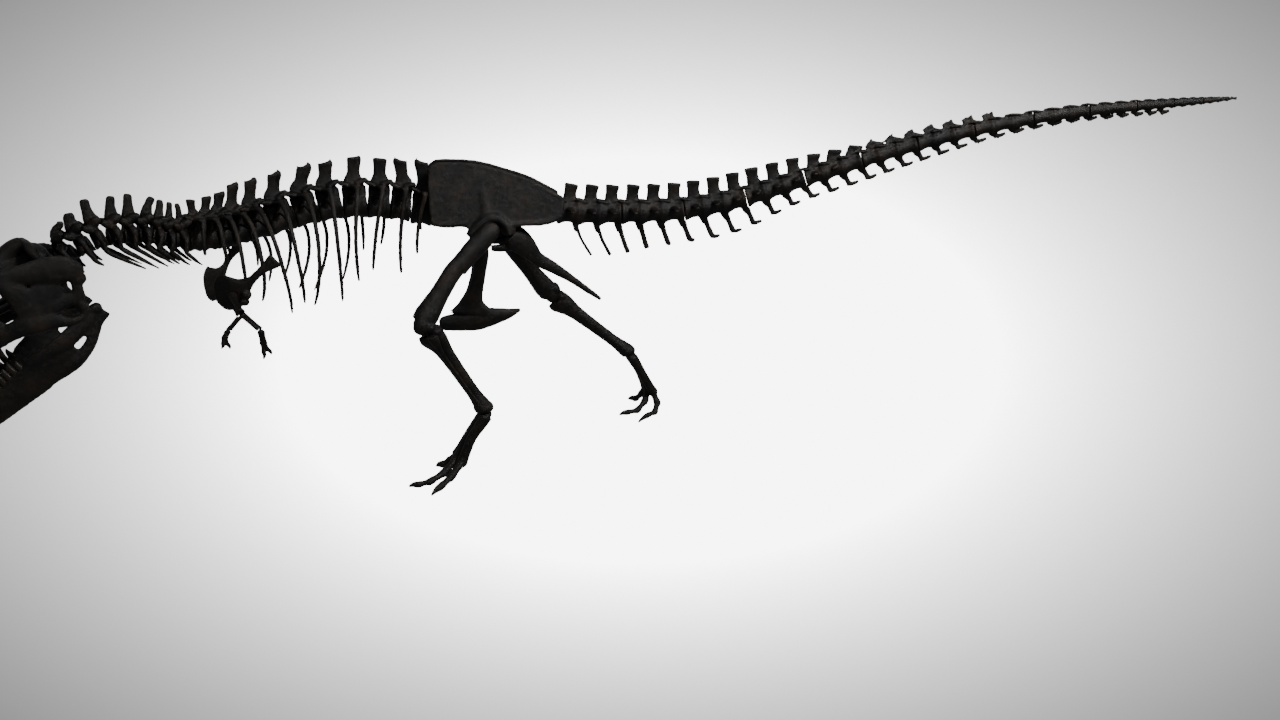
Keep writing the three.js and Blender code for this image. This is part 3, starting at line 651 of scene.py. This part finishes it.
for name, leg in LEGS.items():
    side = leg["side"]
    hip = (0, side * HIP_HALF_WIDTH, HIP_HEIGHT)
    top = moved(hip, (0, side * 120, 50))
    knee = between(hip, leg["knee"], 0.975, (0, side * 6, 0))
    bowed = between(top, knee, 0.5, (-42, 0, 32))
    down = (Vector(knee) - Vector(top)).normalized()
    back = Vector((0, 1, 0)).cross(down).normalized()
    if back.x < 0:
        back = -back

    def at_knee(fall, across, behind):
        return tuple(Vector(knee) + down * fall + back * behind + Vector((0, across, 0)))

    form = bmesh.new()
    limb(form, HIPS, [
        *shaft(top, bowed, (-0.06, 50, 66), (0.1, 66, 92), (0.45, 66, 94), (0.8, 60, 84)),
        *shaft(bowed, knee, (0, 60, 84), (0.35, 62, 86), (0.62, 72, 98), (0.84, 88, 112), (1, 86, 104)),
    ], up=(-1, 0, 0.6), sides=16)
    lump(form, HIPS, moved(hip, (0, -side * 18, 6)), (76, 66, 76))
    limb(form, HIPS, [(*moved(hip, (0, -side * 10, 8)), 56, 56), (*moved(hip, (0, side * 50, 8)), 54, 58),
                      (*moved(hip, (0, side * 120, 0)), 60, 70)])
    lump(form, HIPS, moved(top, (0, side * 12, -10)), (66, 44, 70))
    front_crest = shaft(top, knee, (0.03, 22, 30, (-60, side * 10, -20)), (0.16, 16, 22, (-54, 0, -10)))
    rear_crest = shaft(top, knee, (0.34, 16, 26, (34, -side * 20, -26)),
                       (0.46, 12, 18, (30, -side * 20, -30)))
    for crest in (front_crest, rear_crest):
        limb(form, HIPS, crest, up=(0, 1, 0))
    for across in (-46, 46):
        lump(form, HIPS, at_knee(20, across, 14), (82, 48, 82))
        lump(form, HIPS, at_knee(-10, across, 74), (56, 42, 62))
    carve(f"femur_{name}", form, grain=0.011)

    shin, ankle = leg["shin"], leg["ankle"]
    head, end = between(shin, ankle, 0.05), between(shin, ankle, 0.965)
    fall = (Vector(end) - Vector(head)).normalized()
    front = fall.cross(Vector((0, 1, 0))).normalized()
    if front.x > 0:
        front = -front

    def on_shin(share, across=0, ahead=0):
        return tuple(Vector(between(head, end, share)) + front * ahead + Vector((0, across, 0)))

    def shin_knots(*steps):
        """Knots from share of the way down, how far across and ahead, half width and half height"""
        return [(*on_shin(*step[:3]), *step[3:]) for step in steps]

    form = bmesh.new()
    limb(form, HIPS, shin_knots(
        (-0.005, 0, 6, 86, 108), (0.04, 0, 8, 88, 116), (0.12, 0, 0, 70, 102),
        (0.24, 0, 0, 56, 80), (0.42, 0, 0, 54, 70), (0.62, 0, 0, 54, 66),
        (0.8, 0, 0, 62, 64), (0.92, 0, 0, 86, 76), (1.0, 0, 0, 96, 84),
    ), up=ACROSS_SHIN, sides=16)
    shin_crest = shin_knots((-0.02, side * 6, 84, 26, 40), (0.05, side * 12, 92, 26, 46),
                            (0.18, 0, 62, 18, 30), (0.3, 0, 48, 10, 20))
    limb(form, HIPS, shin_crest, up=ACROSS_SHIN)
    for across in (-44, 44):
        lump(form, HIPS, on_shin(0.0, across, -52), (50, 42, 44))
    lump(form, HIPS, on_shin(0.985), (98, 98, 66))
    ankle_plate = shin_knots((0.985, 0, 34, 60, 20), (0.88, 0, 44, 34, 14), (0.82, 0, 36, 14, 8))
    limb(form, HIPS, ankle_plate, up=ACROSS_SHIN)
    carve(f"tibia_{name}", form, grain=0.010)

    form = bmesh.new()
    limb(form, HIPS, shin_knots(
        (0.0, side * 128, -6, 20, 50), (0.06, side * 126, -2, 20, 46),
        (0.16, side * 110, 10, 17, 28), (0.3, side * 98, 14, 16, 22),
        (0.6, side * 100, 12, 14, 18), (0.88, side * 118, 6, 17, 22),
        (0.97, side * 124, 4, 19, 28),
    ), up=ACROSS_SHIN, sides=12)
    carve(f"fibula_{name}", form, grain=0.0075)

    form = bmesh.new()
    for path in leg["toes"]:
        knee_end, middle, ball = path[:3]
        middle_foot = shaft(knee_end, middle, (0, 46, 60), (0.3, 44, 58))
        middle_foot += shaft(middle, ball, (0, 38, 50), (0.7, 42, 50), (0.96, 52, 56))
        limb(form, HIPS, middle_foot, sides=12)
        lump(form, HIPS, ball, (56, 54, 56))
        joints = path[2:]
        for k, (near, far) in enumerate(zip(joints, joints[1:])):
            thick = 52 - 6 * k
            if k < len(joints) - 2:
                limb(form, HIPS, shaft(
                    near, far, (0.06, thick, thick * 0.94), (0.3, thick * 0.76, thick * 0.72),
                    (0.6, thick * 0.7, thick * 0.66), (0.9, thick * 0.86, thick * 0.84),
                ), sides=12)
                lump(form, HIPS, far, (thick * 0.78, thick * 0.78, thick * 0.76))
            else:
                limb(form, HIPS, shaft(
                    near, far, (0.05, thick * 0.86, thick), (0.35, thick * 0.7, thick * 0.86, (0, 0, 8)),
                    (0.7, thick * 0.46, thick * 0.6, (0, 0, 8)), (1, 8, 10),
                ), sides=12)
    lump(form, HIPS, between(leg["toes"][0][0], leg["toes"][2][0], 0.5), (58, 100, 40))
    for vertex in form.verts:
        vertex.co.z = max(vertex.co.z, SOLE_HEIGHT)
    carve(f"foot_{name}", form, grain=0.009, pits=0.003)

# Shoulders
# On each side a long strap-shaped blade lies along the ribs and grows into a broad round coracoid
# plate in front, with the shallow arm socket between them.
SHOULDER_LINE = (-2195, -556, 0)
CHEST_TURN = math.radians(30)
SHOULDERS = Matrix.Translation(SHOULDER_LINE) @ Matrix.Rotation(CHEST_TURN, 4, "Z")
for side, name in ((-1, "scapula_left"), (1, "scapula_right")):
    form = bmesh.new()
    limb(form, SHOULDERS, [
        (196, side * 422, 2262, 12, 58), (180, side * 412, 2248, 14, 66), (130, side * 384, 2208, 14, 46),
        (70, side * 352, 2160, 16, 34), (10, side * 314, 2098, 20, 36), (-40, side * 278, 2056, 28, 70),
        (-80, side * 250, 2028, 30, 118), (-130, side * 212, 2004, 24, 158),
        (-180, side * 172, 2000, 18, 156), (-220, side * 140, 2000, 12, 112),
        (-236, side * 126, 2000, 8, 70),
    ], sides=16)
    lump(form, SHOULDERS, (-40, side * 292, 1980), (44, 34, 44))
    lump(form, SHOULDERS, (-60, side * 282, 1920), (40, 26, 40))
    carve(name, form, grain=0.008)

# Arms
# Two very short arms: one upper bone, a pair of thin forearm bones, and a hand of two clawed fingers.
ARMS = {
    "left": {
        "shoulder": (-2185, -860, 1985), "elbow": (-2093, -1080, 1890), "wrist": (-1978, -1020, 1722),
        "palm": (-1978, -985, 1590), "fingers": [(-2000, -985, 1450), (-1935, -960, 1480)],
    },
    "right": {
        "shoulder": (-2375, -330, 1905), "elbow": (-2268, -340, 1655), "wrist": (-2380, -380, 1540),
        "palm": (-2415, -400, 1480), "fingers": [(-2455, -410, 1385), (-2390, -385, 1370)],
    },
}
ACROSS_ARM = (1, 0, 0.2)
for name, arm in ARMS.items():
    shoulder, elbow, wrist, palm = arm["shoulder"], arm["elbow"], arm["wrist"], arm["palm"]
    form = bmesh.new()
    limb(form, HIPS, shaft(
        shoulder, elbow, (0, 38, 30), (0.2, 32, 28), (0.5, 24, 24), (0.76, 26, 24), (0.94, 38, 30),
    ), sides=12)
    lump(form, HIPS, shoulder, (34, 32, 32))
    carve(f"humerus_{name}", form, grain=0.006, pits=0.003)

    form = bmesh.new()
    bent = between(elbow, wrist, 0.06)
    for across, thick in ((-13, 15), (14, 13)):
        limb(form, HIPS, shaft(
            bent, wrist, (0.0, thick + 8, thick + 6, (across * 0.6, across * 0.4, 0)),
            (0.2, thick, thick, (across, across * 0.5, 0)),
            (0.6, thick - 1, thick - 1, (across, across * 0.5, 0)),
            (0.94, thick + 5, thick + 3, (across * 0.8, across * 0.4, 0)),
        ), up=ACROSS_ARM)
    carve(f"forearm_{name}", form, grain=0.005, pits=0.002)

    form = bmesh.new()
    lump(form, HIPS, between(wrist, palm, 0.12), (26, 22, 20))
    for spread_out, tip in zip((-11, 11), arm["fingers"]):
        root = between(wrist, palm, 0.14, (spread_out, 0, 0))
        knuckle = between(wrist, palm, 0.96, (spread_out, 0, 0))
        joint = between(palm, tip, 0.48)
        hand_bone = shaft(root, knuckle, (0, 20, 20), (0.5, 16, 16), (1, 20, 21))
        finger_bone = shaft(knuckle, joint, (0.1, 18, 19), (0.5, 15, 15), (1, 18, 19))
        claw = shaft(joint, tip, (0.06, 17, 20), (0.4, 14, 17, (8, 0, 0)), (0.75, 9, 11, (6, 0, 0)),
                     (1, 4, 4))
        for knots in (hand_bone, finger_bone, claw):
            limb(form, HIPS, knots, up=ACROSS_ARM)
    carve(f"hand_{name}", form, grain=0.005, pits=0.002)

# Skull
# A skull of struts and plates around large openings: eye sockets, cheek openings behind them, and
# windows in the snout. The bones are grown together, so it is one piece with a deep, heavy snout.
NAPE = (-3385, -1110, 2415)
HEAD_TURN, HEAD_TILT = math.radians(30), math.radians(-17)
HEAD_SCALE = 1.12
HEAD = (Matrix.Translation(NAPE) @ Matrix.Rotation(HEAD_TURN, 4, "Z")
        @ Matrix.Rotation(HEAD_TILT, 4, "Y") @ Matrix.Scale(HEAD_SCALE, 4))
form = bmesh.new()
nose_and_forehead = [
    (-1276, 0, -200, 30, 34), (-1230, 0, -140, 50, 40), (-1120, 0, -72, 64, 42), (-1000, 0, -24, 66, 40),
    (-760, 0, 60, 62, 38), (-560, 0, 106, 76, 38), (-400, 0, 124, 118, 36), (-280, 0, 124, 128, 36),
]
crown = [(-310, 0, 112, 92, 42), (-210, 0, 114, 56, 60), (-127, 0, 142, 62, 60), (-64, 0, 146, 88, 52)]
limb(form, HEAD, nose_and_forehead, sides=16)
limb(form, HEAD, crown, sides=14)
nape_crest = [(-52, 0, 118, 30, 56), (-58, 96, 120, 30, 56), (-66, 176, 84, 28, 52),
              (-52, 236, 20, 24, 44)]
pair(form, HEAD, nape_crest, sides=12)
brain_case = [((-160, 0, 14), (150, 84, 96)), ((-76, 0, 10), (34, 150, 104)),
              ((-14, 0, -28), (42, 42, 40)), ((-26, 0, 46), (60, 130, 84))]
for centre, radii in brain_case:
    lump(form, HEAD, centre, radii)
brain_floor = [(-80, 0, -50, 76, 40), (-96, 0, -150, 64, 34), (-110, 0, -206, 44, 26)]
limb(form, HEAD, brain_floor, up=TAILWARD)
ear_wings = [(-66, 60, -8, 28, 60), (-40, 160, -34, 22, 60), (0, 236, -86, 18, 46)]
pair(form, HEAD, ear_wings, sides=12)
behind_eye = [
    (-345, 90, 116, 34, 44), (-336, 170, 108, 36, 54), (-316, 228, 66, 34, 60), (-288, 250, -24, 26, 66),
    (-262, 253, -120, 22, 82), (-248, 252, -220, 22, 96), (-250, 250, -300, 20, 92),
]
pair(form, HEAD, behind_eye, up=TAILWARD, sides=12)
upper_cheek = [(-320, 236, 58, 28, 46), (-200, 250, 30, 26, 66), (-70, 258, -4, 26, 92),
               (20, 266, -34, 28, 96), (76, 270, -70, 24, 76), (108, 268, -112, 16, 46)]
pair(form, HEAD, upper_cheek, sides=12)
pair_of_lumps(form, HEAD, (76, 260, -132), (54, 26, 50))
jaw_hinge_strut = [(60, 264, -60, 24, 44), (58, 258, -136, 22, 34), (38, 254, -214, 24, 36),
                   (12, 250, -276, 24, 34), (20, 246, -330, 30, 38)]
pair(form, HEAD, jaw_hinge_strut, up=TAILWARD, sides=12)
lower_cheek_bar = [(50, 256, -236, 18, 50), (-60, 256, -236, 16, 48), (-190, 254, -236, 18, 60)]
pair(form, HEAD, lower_cheek_bar)
cheek_plate = [(-44, 254, -110, 16, 60), (-110, 254, -140, 18, 90), (-190, 254, -160, 18, 100)]
pair(form, HEAD, cheek_plate)
cheek = [
    (40, 246, -336, 26, 40), (-14, 252, -378, 20, 30), (-62, 256, -382, 18, 28),
    (-110, 256, -370, 20, 36), (-177, 256, -326, 22, 56), (-306, 250, -282, 26, 76),
    (-410, 226, -286, 24, 60), (-520, 194, -300, 22, 58),
]
pair(form, HEAD, cheek, sides=14)
before_eye = [(-470, 96, 122, 34, 56), (-492, 158, 66, 32, 52), (-502, 190, -36, 24, 42),
              (-494, 202, -146, 22, 44), (-470, 206, -250, 22, 66)]
pair(form, HEAD, before_eye, up=TAILWARD, sides=12)
pair_of_lumps(form, HEAD, (-486, 128, 136), (84, 46, 36))
pair_of_lumps(form, HEAD, (-330, 204, 112), (60, 44, 38))
upper_jaw = [(-470, 200, -304, 20, 58), (-620, 172, -292, 20, 80), (-800, 140, -272, 22, 104),
             (-980, 112, -256, 22, 112), (-1120, 86, -244, 22, 112), (-1210, 58, -240, 24, 106)]
pair(form, HEAD, upper_jaw, sides=14)
snout_wall = [(-1110, 84, -160, 20, 76), (-960, 92, -74, 20, 70), (-800, 88, -4, 20, 50),
              (-650, 94, 44, 22, 36), (-520, 104, 84, 22, 30)]
pair(form, HEAD, snout_wall, sides=12)
window_bar = [(-860, 124, -190, 16, 40), (-780, 116, -110, 16, 34), (-760, 100, -30, 16, 30)]
pair(form, HEAD, window_bar, up=TAILWARD)
palate = [(-130, 70, -140, 46, 22), (-400, 92, -168, 58, 20), (-700, 72, -190, 44, 18),
          (-1000, 36, -216, 30, 16)]
pair(form, HEAD, palate)
palate_wing = [(0, 220, -306, 30, 28), (-90, 160, -272, 34, 36), (-190, 110, -200, 30, 56),
               (-330, 96, -150, 28, 70)]
pair(form, HEAD, palate_wing)
lump(form, HEAD, (-262, 0, 20), (130, 110, 96))
nose_tip = [(-1170, 66, -236, 28, 110), (-1232, 46, -240, 34, 100), (-1284, 18, -238, 30, 84)]
pair(form, HEAD, nose_tip, sides=14)
pair_of_lumps(form, HEAD, (-1170, 34, -96), (70, 26, 22))
carve("skull", form, grain=0.0115)

# Lower jaw
# Two deep halves that meet in the chin, hung from the skull's rear corners and swung open. Each has
# an oval window toward the back.
JAW_HINGE = (28, 0, -375)
JAW_OPENING = math.radians(-20)
JAW = HEAD @ Matrix.Translation(JAW_HINGE) @ Matrix.Rotation(JAW_OPENING, 4, "Y")
form = bmesh.new()
upper_rear = [(74, 235, -22, 22, 42), (20, 242, -16, 26, 54), (-120, 246, -24, 24, 60),
              (-260, 242, -24, 24, 60), (-400, 214, -8, 24, 50), (-500, 184, -10, 22, 50)]
pair(form, JAW, upper_rear, sides=12)
lower_rear = [
    (72, 232, -66, 22, 38), (-20, 242, -78, 22, 42), (-80, 244, -112, 22, 38),
    (-150, 246, -146, 22, 38), (-220, 244, -164, 22, 42), (-310, 238, -174, 22, 46),
    (-420, 208, -168, 22, 44), (-520, 180, -150, 22, 44),
]
pair(form, JAW, lower_rear, sides=12)
tooth_bone = [(-380, 220, -76, 18, 92), (-520, 182, -86, 24, 120), (-700, 136, -92, 26, 104),
              (-900, 88, -90, 28, 90), (-1040, 54, -80, 30, 80), (-1130, 22, -68, 32, 60)]
pair(form, JAW, tooth_bone, sides=14)
pair(form, JAW, [(-232, 240, -96, 14, 58), (-320, 232, -80, 18, 90), (-420, 208, -80, 18, 90)])
pair(form, JAW, [(60, 238, -50, 22, 48), (0, 242, -60, 18, 50), (-134, 246, -92, 14, 46)])
pair_of_lumps(form, JAW, (44, 238, -6), (46, 38, 36))
carve("lower_jaw", form, grain=0.010)

# Teeth
# Thick, slightly curved spikes of uneven length, set in both jaws and a shade browner and glossier
# than the bone.
tooth_enamel = fossil(
    "brown tooth enamel", ground=(0.012, 0.008, 0.005), cloud=(0.03, 0.02, 0.012),
    bloom=(0.02, 0.014, 0.009), rubbed=(0.07, 0.05, 0.034), gloss=(0.18, 0.32), bump=0.3, specular=0.4)
TEETH_A_SIDE = 13
UPPER_TOOTH, LOWER_TOOTH = 120, 105
UNEVEN = (0.9, 1.08, 0.8, 1.0, 0.72, 1.05, 0.86)


def tooth_row(name, place, edge, direction, length):
    """Both sides of one jaw's teeth. The edge gives x, y and z by share along the row."""
    form = bmesh.new()
    for i in range(TEETH_A_SIDE):
        share = (i + 0.5) / TEETH_A_SIDE
        x, y, z = edge(share)
        size = length * UNEVEN[i % len(UNEVEN)] * (0.62 + 0.5 * swell(share, 1.2))
        reach = direction * size
        pair(form, place, [
            (x, y, z - direction * 30, 16, 22), (x, y, z, 16, 23),
            (x + size * 0.06, y, z + reach * 0.45, 13, 18), (x + size * 0.17, y, z + reach * 0.8, 7, 10),
            (x + size * 0.3, y, z + reach, 1.5, 2),
        ], up=TAILWARD, sides=10)
    carve(name, form, melt=False, material=tooth_enamel)


def upper_edge(share):
    return -510 - 710 * share, 184 - 134 * share, -362


def lower_edge(share):
    return -520 - 590 * share, 180 - 148 * share ** 0.92, 10 - 6 * share


tooth_row("upper_teeth", HEAD, upper_edge, -1, UPPER_TOOTH)
tooth_row("lower_teeth", JAW, lower_edge, 1, LOWER_TOOTH)

# Tail
# Forty vertebrae shrink toward the tip. The front ones have tall spines, side bars and deep chevron
# bones hung below the joints; the last ones are plain spools locked by long thin processes.
TAIL = SpineLine([
    (652, 0, 2415), (1074, -4, 2383), (1590, -43, 2379), (1966, -94, 2403), (2373, -180, 2478),
    (2730, -277, 2588), (3088, -389, 2714), (3796, -655, 2974), (4445, -939, 3180), (5045, -1221, 3322),
    (5522, -1441, 3396), (6410, -1842, 3496),
])
TAIL_RUNS = [3, 3, 3, 3, 3, 3, 3, 3, 3, 3, 3, 3, 2, 2]
CHEVRONS = 32
TAIL_VERTEBRAE = sum(TAIL_RUNS)


def tail_share(number):
    """How long a tail vertebra is beside the first"""
    return 1 - 0.18 * fade(number, 6, 18) - 0.5 * fade(number, 21, 37)


tail_unit = TAIL.length / sum(tail_share(number) for number in range(TAIL_VERTEBRAE))


def tail_vertebra(form, place, number, half):
    """One vertebra of the tail, counted from the hips, with its chevron bone while it has one"""
    rest = 1 - number / (TAIL_VERTEBRAE - 1)
    width = 98 * rest ** 0.7 + 12
    height = width * (1.12 - 0.16 * fade(number, 7, 12))
    spine = 272 - 165 * fade(number, 8, 17.5) - 100 * fade(number, 17, 30)
    lean = 22 + 75 * fade(number, 9, 17)
    chevron = 432 - 100 * fade(number, 1, 5) - 125 * fade(number, 6, 11) - 120 * fade(number, 12, 25)
    spool(form, place, half, width * 0.92, height)
    arch = [(0, 0, width * 0.5, width * 0.46, half * 0.8), (6, 0, width, width * 0.34, half * 0.72)]
    limb(form, place, arch, up=TAILWARD)
    if spine > width + 8:
        spine_half = min(68, half * 0.84)
        limb(form, place, [
            (8, 0, width * 0.9, width * 0.24 + 4, half * 0.76),
            (lean * 0.5, 0, (width + spine) / 2, 14 * rest + 5, spine_half * 0.94),
            (lean * 0.9, 0, spine - 12, 19 * rest + 5, spine_half * 1.06),
            (lean, 0, spine + 4, 15 * rest + 4, spine_half * 0.96),
        ], up=TAILWARD, sides=12)
    reach = half * (0.18 + 0.3 * fade(number, 14, 30)) + 16
    pair(form, place, [(-half * 0.3, width * 0.3, width * 0.96, width * 0.2, width * 0.18),
                       (-half * 0.9, width * 0.36, width * 1.12, width * 0.18, width * 0.16),
                       (-half - reach, width * 0.36, width * 1.2, width * 0.12, width * 0.1)])
    pair(form, place, [(half * 0.2, width * 0.16, width * 1.1, width * 0.17, width * 0.16),
                       (half + 10, width * 0.2, width * 1.2, width * 0.13, width * 0.1)])
    bar_reach = 140 * (1 - fade(number, 2, 16))
    if bar_reach > 8:
        pair(form, place, [(4, width * 0.5, width * 0.3, half * 0.5, width * 0.24),
                           (12, width * 0.8 + bar_reach * 0.4, width * 0.32, 30, 15),
                           (18, width * 0.8 + bar_reach, width * 0.3, 26, 11)])
    if number < CHEVRONS:
        trail = 20 + 100 * (1 - fade(number, 0, 3)) + 40 * (1 - fade(number, 5, 9))
        blade = 36 - 16 * (1 - fade(number, 0, 3)) - 16 * fade(number, 12, 30)
        thick = 9 * rest + 4
        hang = chevron - height
        pair(form, place, [
            (half * 0.7, width * 0.34, -height * 0.8, thick * 1.4, blade * 0.9 + 8),
            (half * 0.9, width * 0.14, -height - hang * 0.2, thick * 1.1, blade * 0.8 + 3),
        ], up=TAILWARD)
        limb(form, place, [
            (half * 0.86, 0, -height * 0.96, thick * 1.2, blade * 0.9 + 4),
            (half + trail * 0.25, 0, -height - hang * 0.4, thick, blade * 0.8 + 1),
            (half + trail * 0.7, 0, -height - hang * 0.75, thick, blade * 0.86),
            (half + trail, 0, -chevron + blade * 0.5, thick, blade * 0.84),
        ], up=TAILWARD)
        boot = 95 * fade(number, 3, 7) * (1 - 0.45 * fade(number, 16, 31))
        if boot > 5:
            limb(form, place, [
                (half + trail - 18 - boot * 0.12, 0, -chevron + 30, thick, 13 + blade * 0.2),
                (half + trail + boot * 0.25, 0, -chevron + 22, thick, 15 + blade * 0.26),
                (half + trail + boot * 0.9, 0, -chevron + 30, thick * 0.8, 10 + blade * 0.2),
            ])


COARSEST_GRAIN, GRAIN_CHANGE = 0.0098, 0.0052
tail_place, tail_number = 0, 0
for run, count in enumerate(TAIL_RUNS):
    form = bmesh.new()
    for _ in range(count):
        spacing = tail_unit * tail_share(tail_number)
        tail_vertebra(form, TAIL.place(tail_place + spacing / 2), tail_number, spacing / 2 - DISC_GAP / 3)
        tail_place += spacing
        tail_number += 1
    fine = COARSEST_GRAIN - GRAIN_CHANGE * fade(run, 3, 11)
    carve(f"tail_run_{run + 1}", form, grain=fine, pits=fine * 0.45)

# Floor and backdrop
# A plain pale studio floor and room that glow, with one soft pool of light painted into their glow:
# brightest in the middle of an oval and dimmer to its rim. The painted pool is laid out to look like an
# even oval from the front, and floor and room share its tones, so no edge shows behind the bones.
# The oval's sizes are slopes: how far it spreads for each metre away from where it is viewed.
FLOOR_REACH = 400
VIEWED_FROM = (-1.389, -7.900, 3.946)
VIEW_TURN = (math.radians(70), 0, math.radians(-13))
OVAL_WIDTH, OVAL_HEIGHT = 0.7365, 0.4143
OVAL_CORE, OVAL_RIM = 0.565, 1.45
ROOM_TONE = 1.12
FALL_OFF = -3.3
JUST_AHEAD = 0.001


def painted_pool_of_light(tree, source, origin):
    """Painted pool of light: tone by direction from the front, full in the middle of the oval and dimmer
    to its rim
    """
    coordinates = tree.nodes.new("ShaderNodeTexCoord")
    turned = tree.nodes.new("ShaderNodeMapping")
    turned.vector_type = "TEXTURE"
    turned.inputs["Location"].default_value = origin
    turned.inputs["Rotation"].default_value = VIEW_TURN
    tree.links.new(coordinates.outputs[source], turned.inputs["Vector"])
    parts = tree.nodes.new("ShaderNodeSeparateXYZ")
    tree.links.new(turned.outputs["Vector"], parts.inputs["Vector"])
    ahead = arithmetic(tree, "MULTIPLY", parts.outputs["Z"], -1)
    depth = arithmetic(tree, "MAXIMUM", ahead, JUST_AHEAD)
    squares = []
    for axis, extent in (("X", OVAL_WIDTH), ("Y", OVAL_HEIGHT)):
        slope = arithmetic(tree, "DIVIDE", arithmetic(tree, "DIVIDE", parts.outputs[axis], depth), extent)
        squares.append(arithmetic(tree, "MULTIPLY", slope, slope))
    reach = arithmetic(tree, "SQRT", arithmetic(tree, "ADD", *squares))
    held = arithmetic(tree, "MAXIMUM", arithmetic(tree, "MINIMUM", reach, OVAL_RIM), OVAL_CORE)
    return arithmetic(tree, "MULTIPLY", arithmetic(tree, "POWER", held, FALL_OFF), ROOM_TONE)


def seen_or_lighting(tree, kind, seen_colour, lighting_colour, output):
    """One tone for the eye and a dimmer one for the light that falls on the bones"""
    seen = tree.nodes.new(kind)
    lighting = tree.nodes.new(kind)
    lighting.inputs["Color"].default_value = lighting_colour
    tree.links.new(seen_colour, seen.inputs["Color"])
    path = tree.nodes.new("ShaderNodeLightPath")
    chosen = tree.nodes.new("ShaderNodeMixShader")
    tree.links.new(path.outputs["Is Camera Ray"], chosen.inputs["Fac"])
    tree.links.new(lighting.outputs[0], chosen.inputs[1])
    tree.links.new(seen.outputs[0], chosen.inputs[2])
    tree.links.new(chosen.outputs["Shader"], output.inputs["Surface"])


# The floor glows instead of reflecting: the eye sees the painted pool of light, and the bones get a dim
# even glow
paper = bpy.data.materials.new("pale paper glowing with painted pool of light")
paper.use_nodes = True
paper_tree = paper.node_tree
paper_tree.nodes.remove(paper_tree.nodes["Principled BSDF"])
FLOOR_GLOW = (0.16, 0.16, 0.16, 1)
seen_or_lighting(paper_tree, "ShaderNodeEmission", painted_pool_of_light(paper_tree, "Object", VIEWED_FROM),
                 FLOOR_GLOW, paper_tree.nodes["Material Output"])

form = bmesh.new()
bmesh.ops.create_grid(form, x_segments=1, y_segments=1, size=FLOOR_REACH)
floor_mesh = bpy.data.meshes.new("studio_floor")
form.to_mesh(floor_mesh)
form.free()
floor = bpy.data.objects.new("studio_floor", floor_mesh)
bpy.context.scene.collection.objects.link(floor)
floor_mesh.materials.append(paper)

# Light
# Soft light comes from the pale room and its floor. One large round lamp, high on the front right,
# picks out the edges of the bones.
ROOM_GLOW = (0.2, 0.2, 0.2, 1)
LAMP_PLACE, LAMP_TARGET = Vector((4, -5, 9)), Vector((0, 0, 2))
world = bpy.data.worlds.new("pale room")
world.use_nodes = True
room_tree = world.node_tree
room_tree.nodes.remove(room_tree.nodes["Background"])
# The room's background shows the eye the same painted pool of light, and lights the bones with a dim even
# glow
seen_or_lighting(room_tree, "ShaderNodeBackground", painted_pool_of_light(room_tree, "Generated", (0, 0, 0)),
                 ROOM_GLOW, room_tree.nodes["World Output"])
bpy.context.scene.world = world

light = bpy.data.lights.new("high lamp", "AREA")
light.shape = "DISK"
light.size = 3
light.energy = 900
lamp = bpy.data.objects.new("high lamp", light)
lamp.location = LAMP_PLACE
lamp.rotation_euler = (LAMP_TARGET - LAMP_PLACE).to_track_quat("-Z", "Y").to_euler()
bpy.context.scene.collection.objects.link(lamp)

# Camera
# In front of the animal's left side, a little above its back and looking down at it.
camera_data = bpy.data.cameras.new("camera")
camera_data.lens = 24.44
camera_data.sensor_width = 36
camera = bpy.data.objects.new("camera", camera_data)
camera.location = VIEWED_FROM
camera.rotation_euler = VIEW_TURN
bpy.context.scene.collection.objects.link(camera)
bpy.context.scene.camera = camera
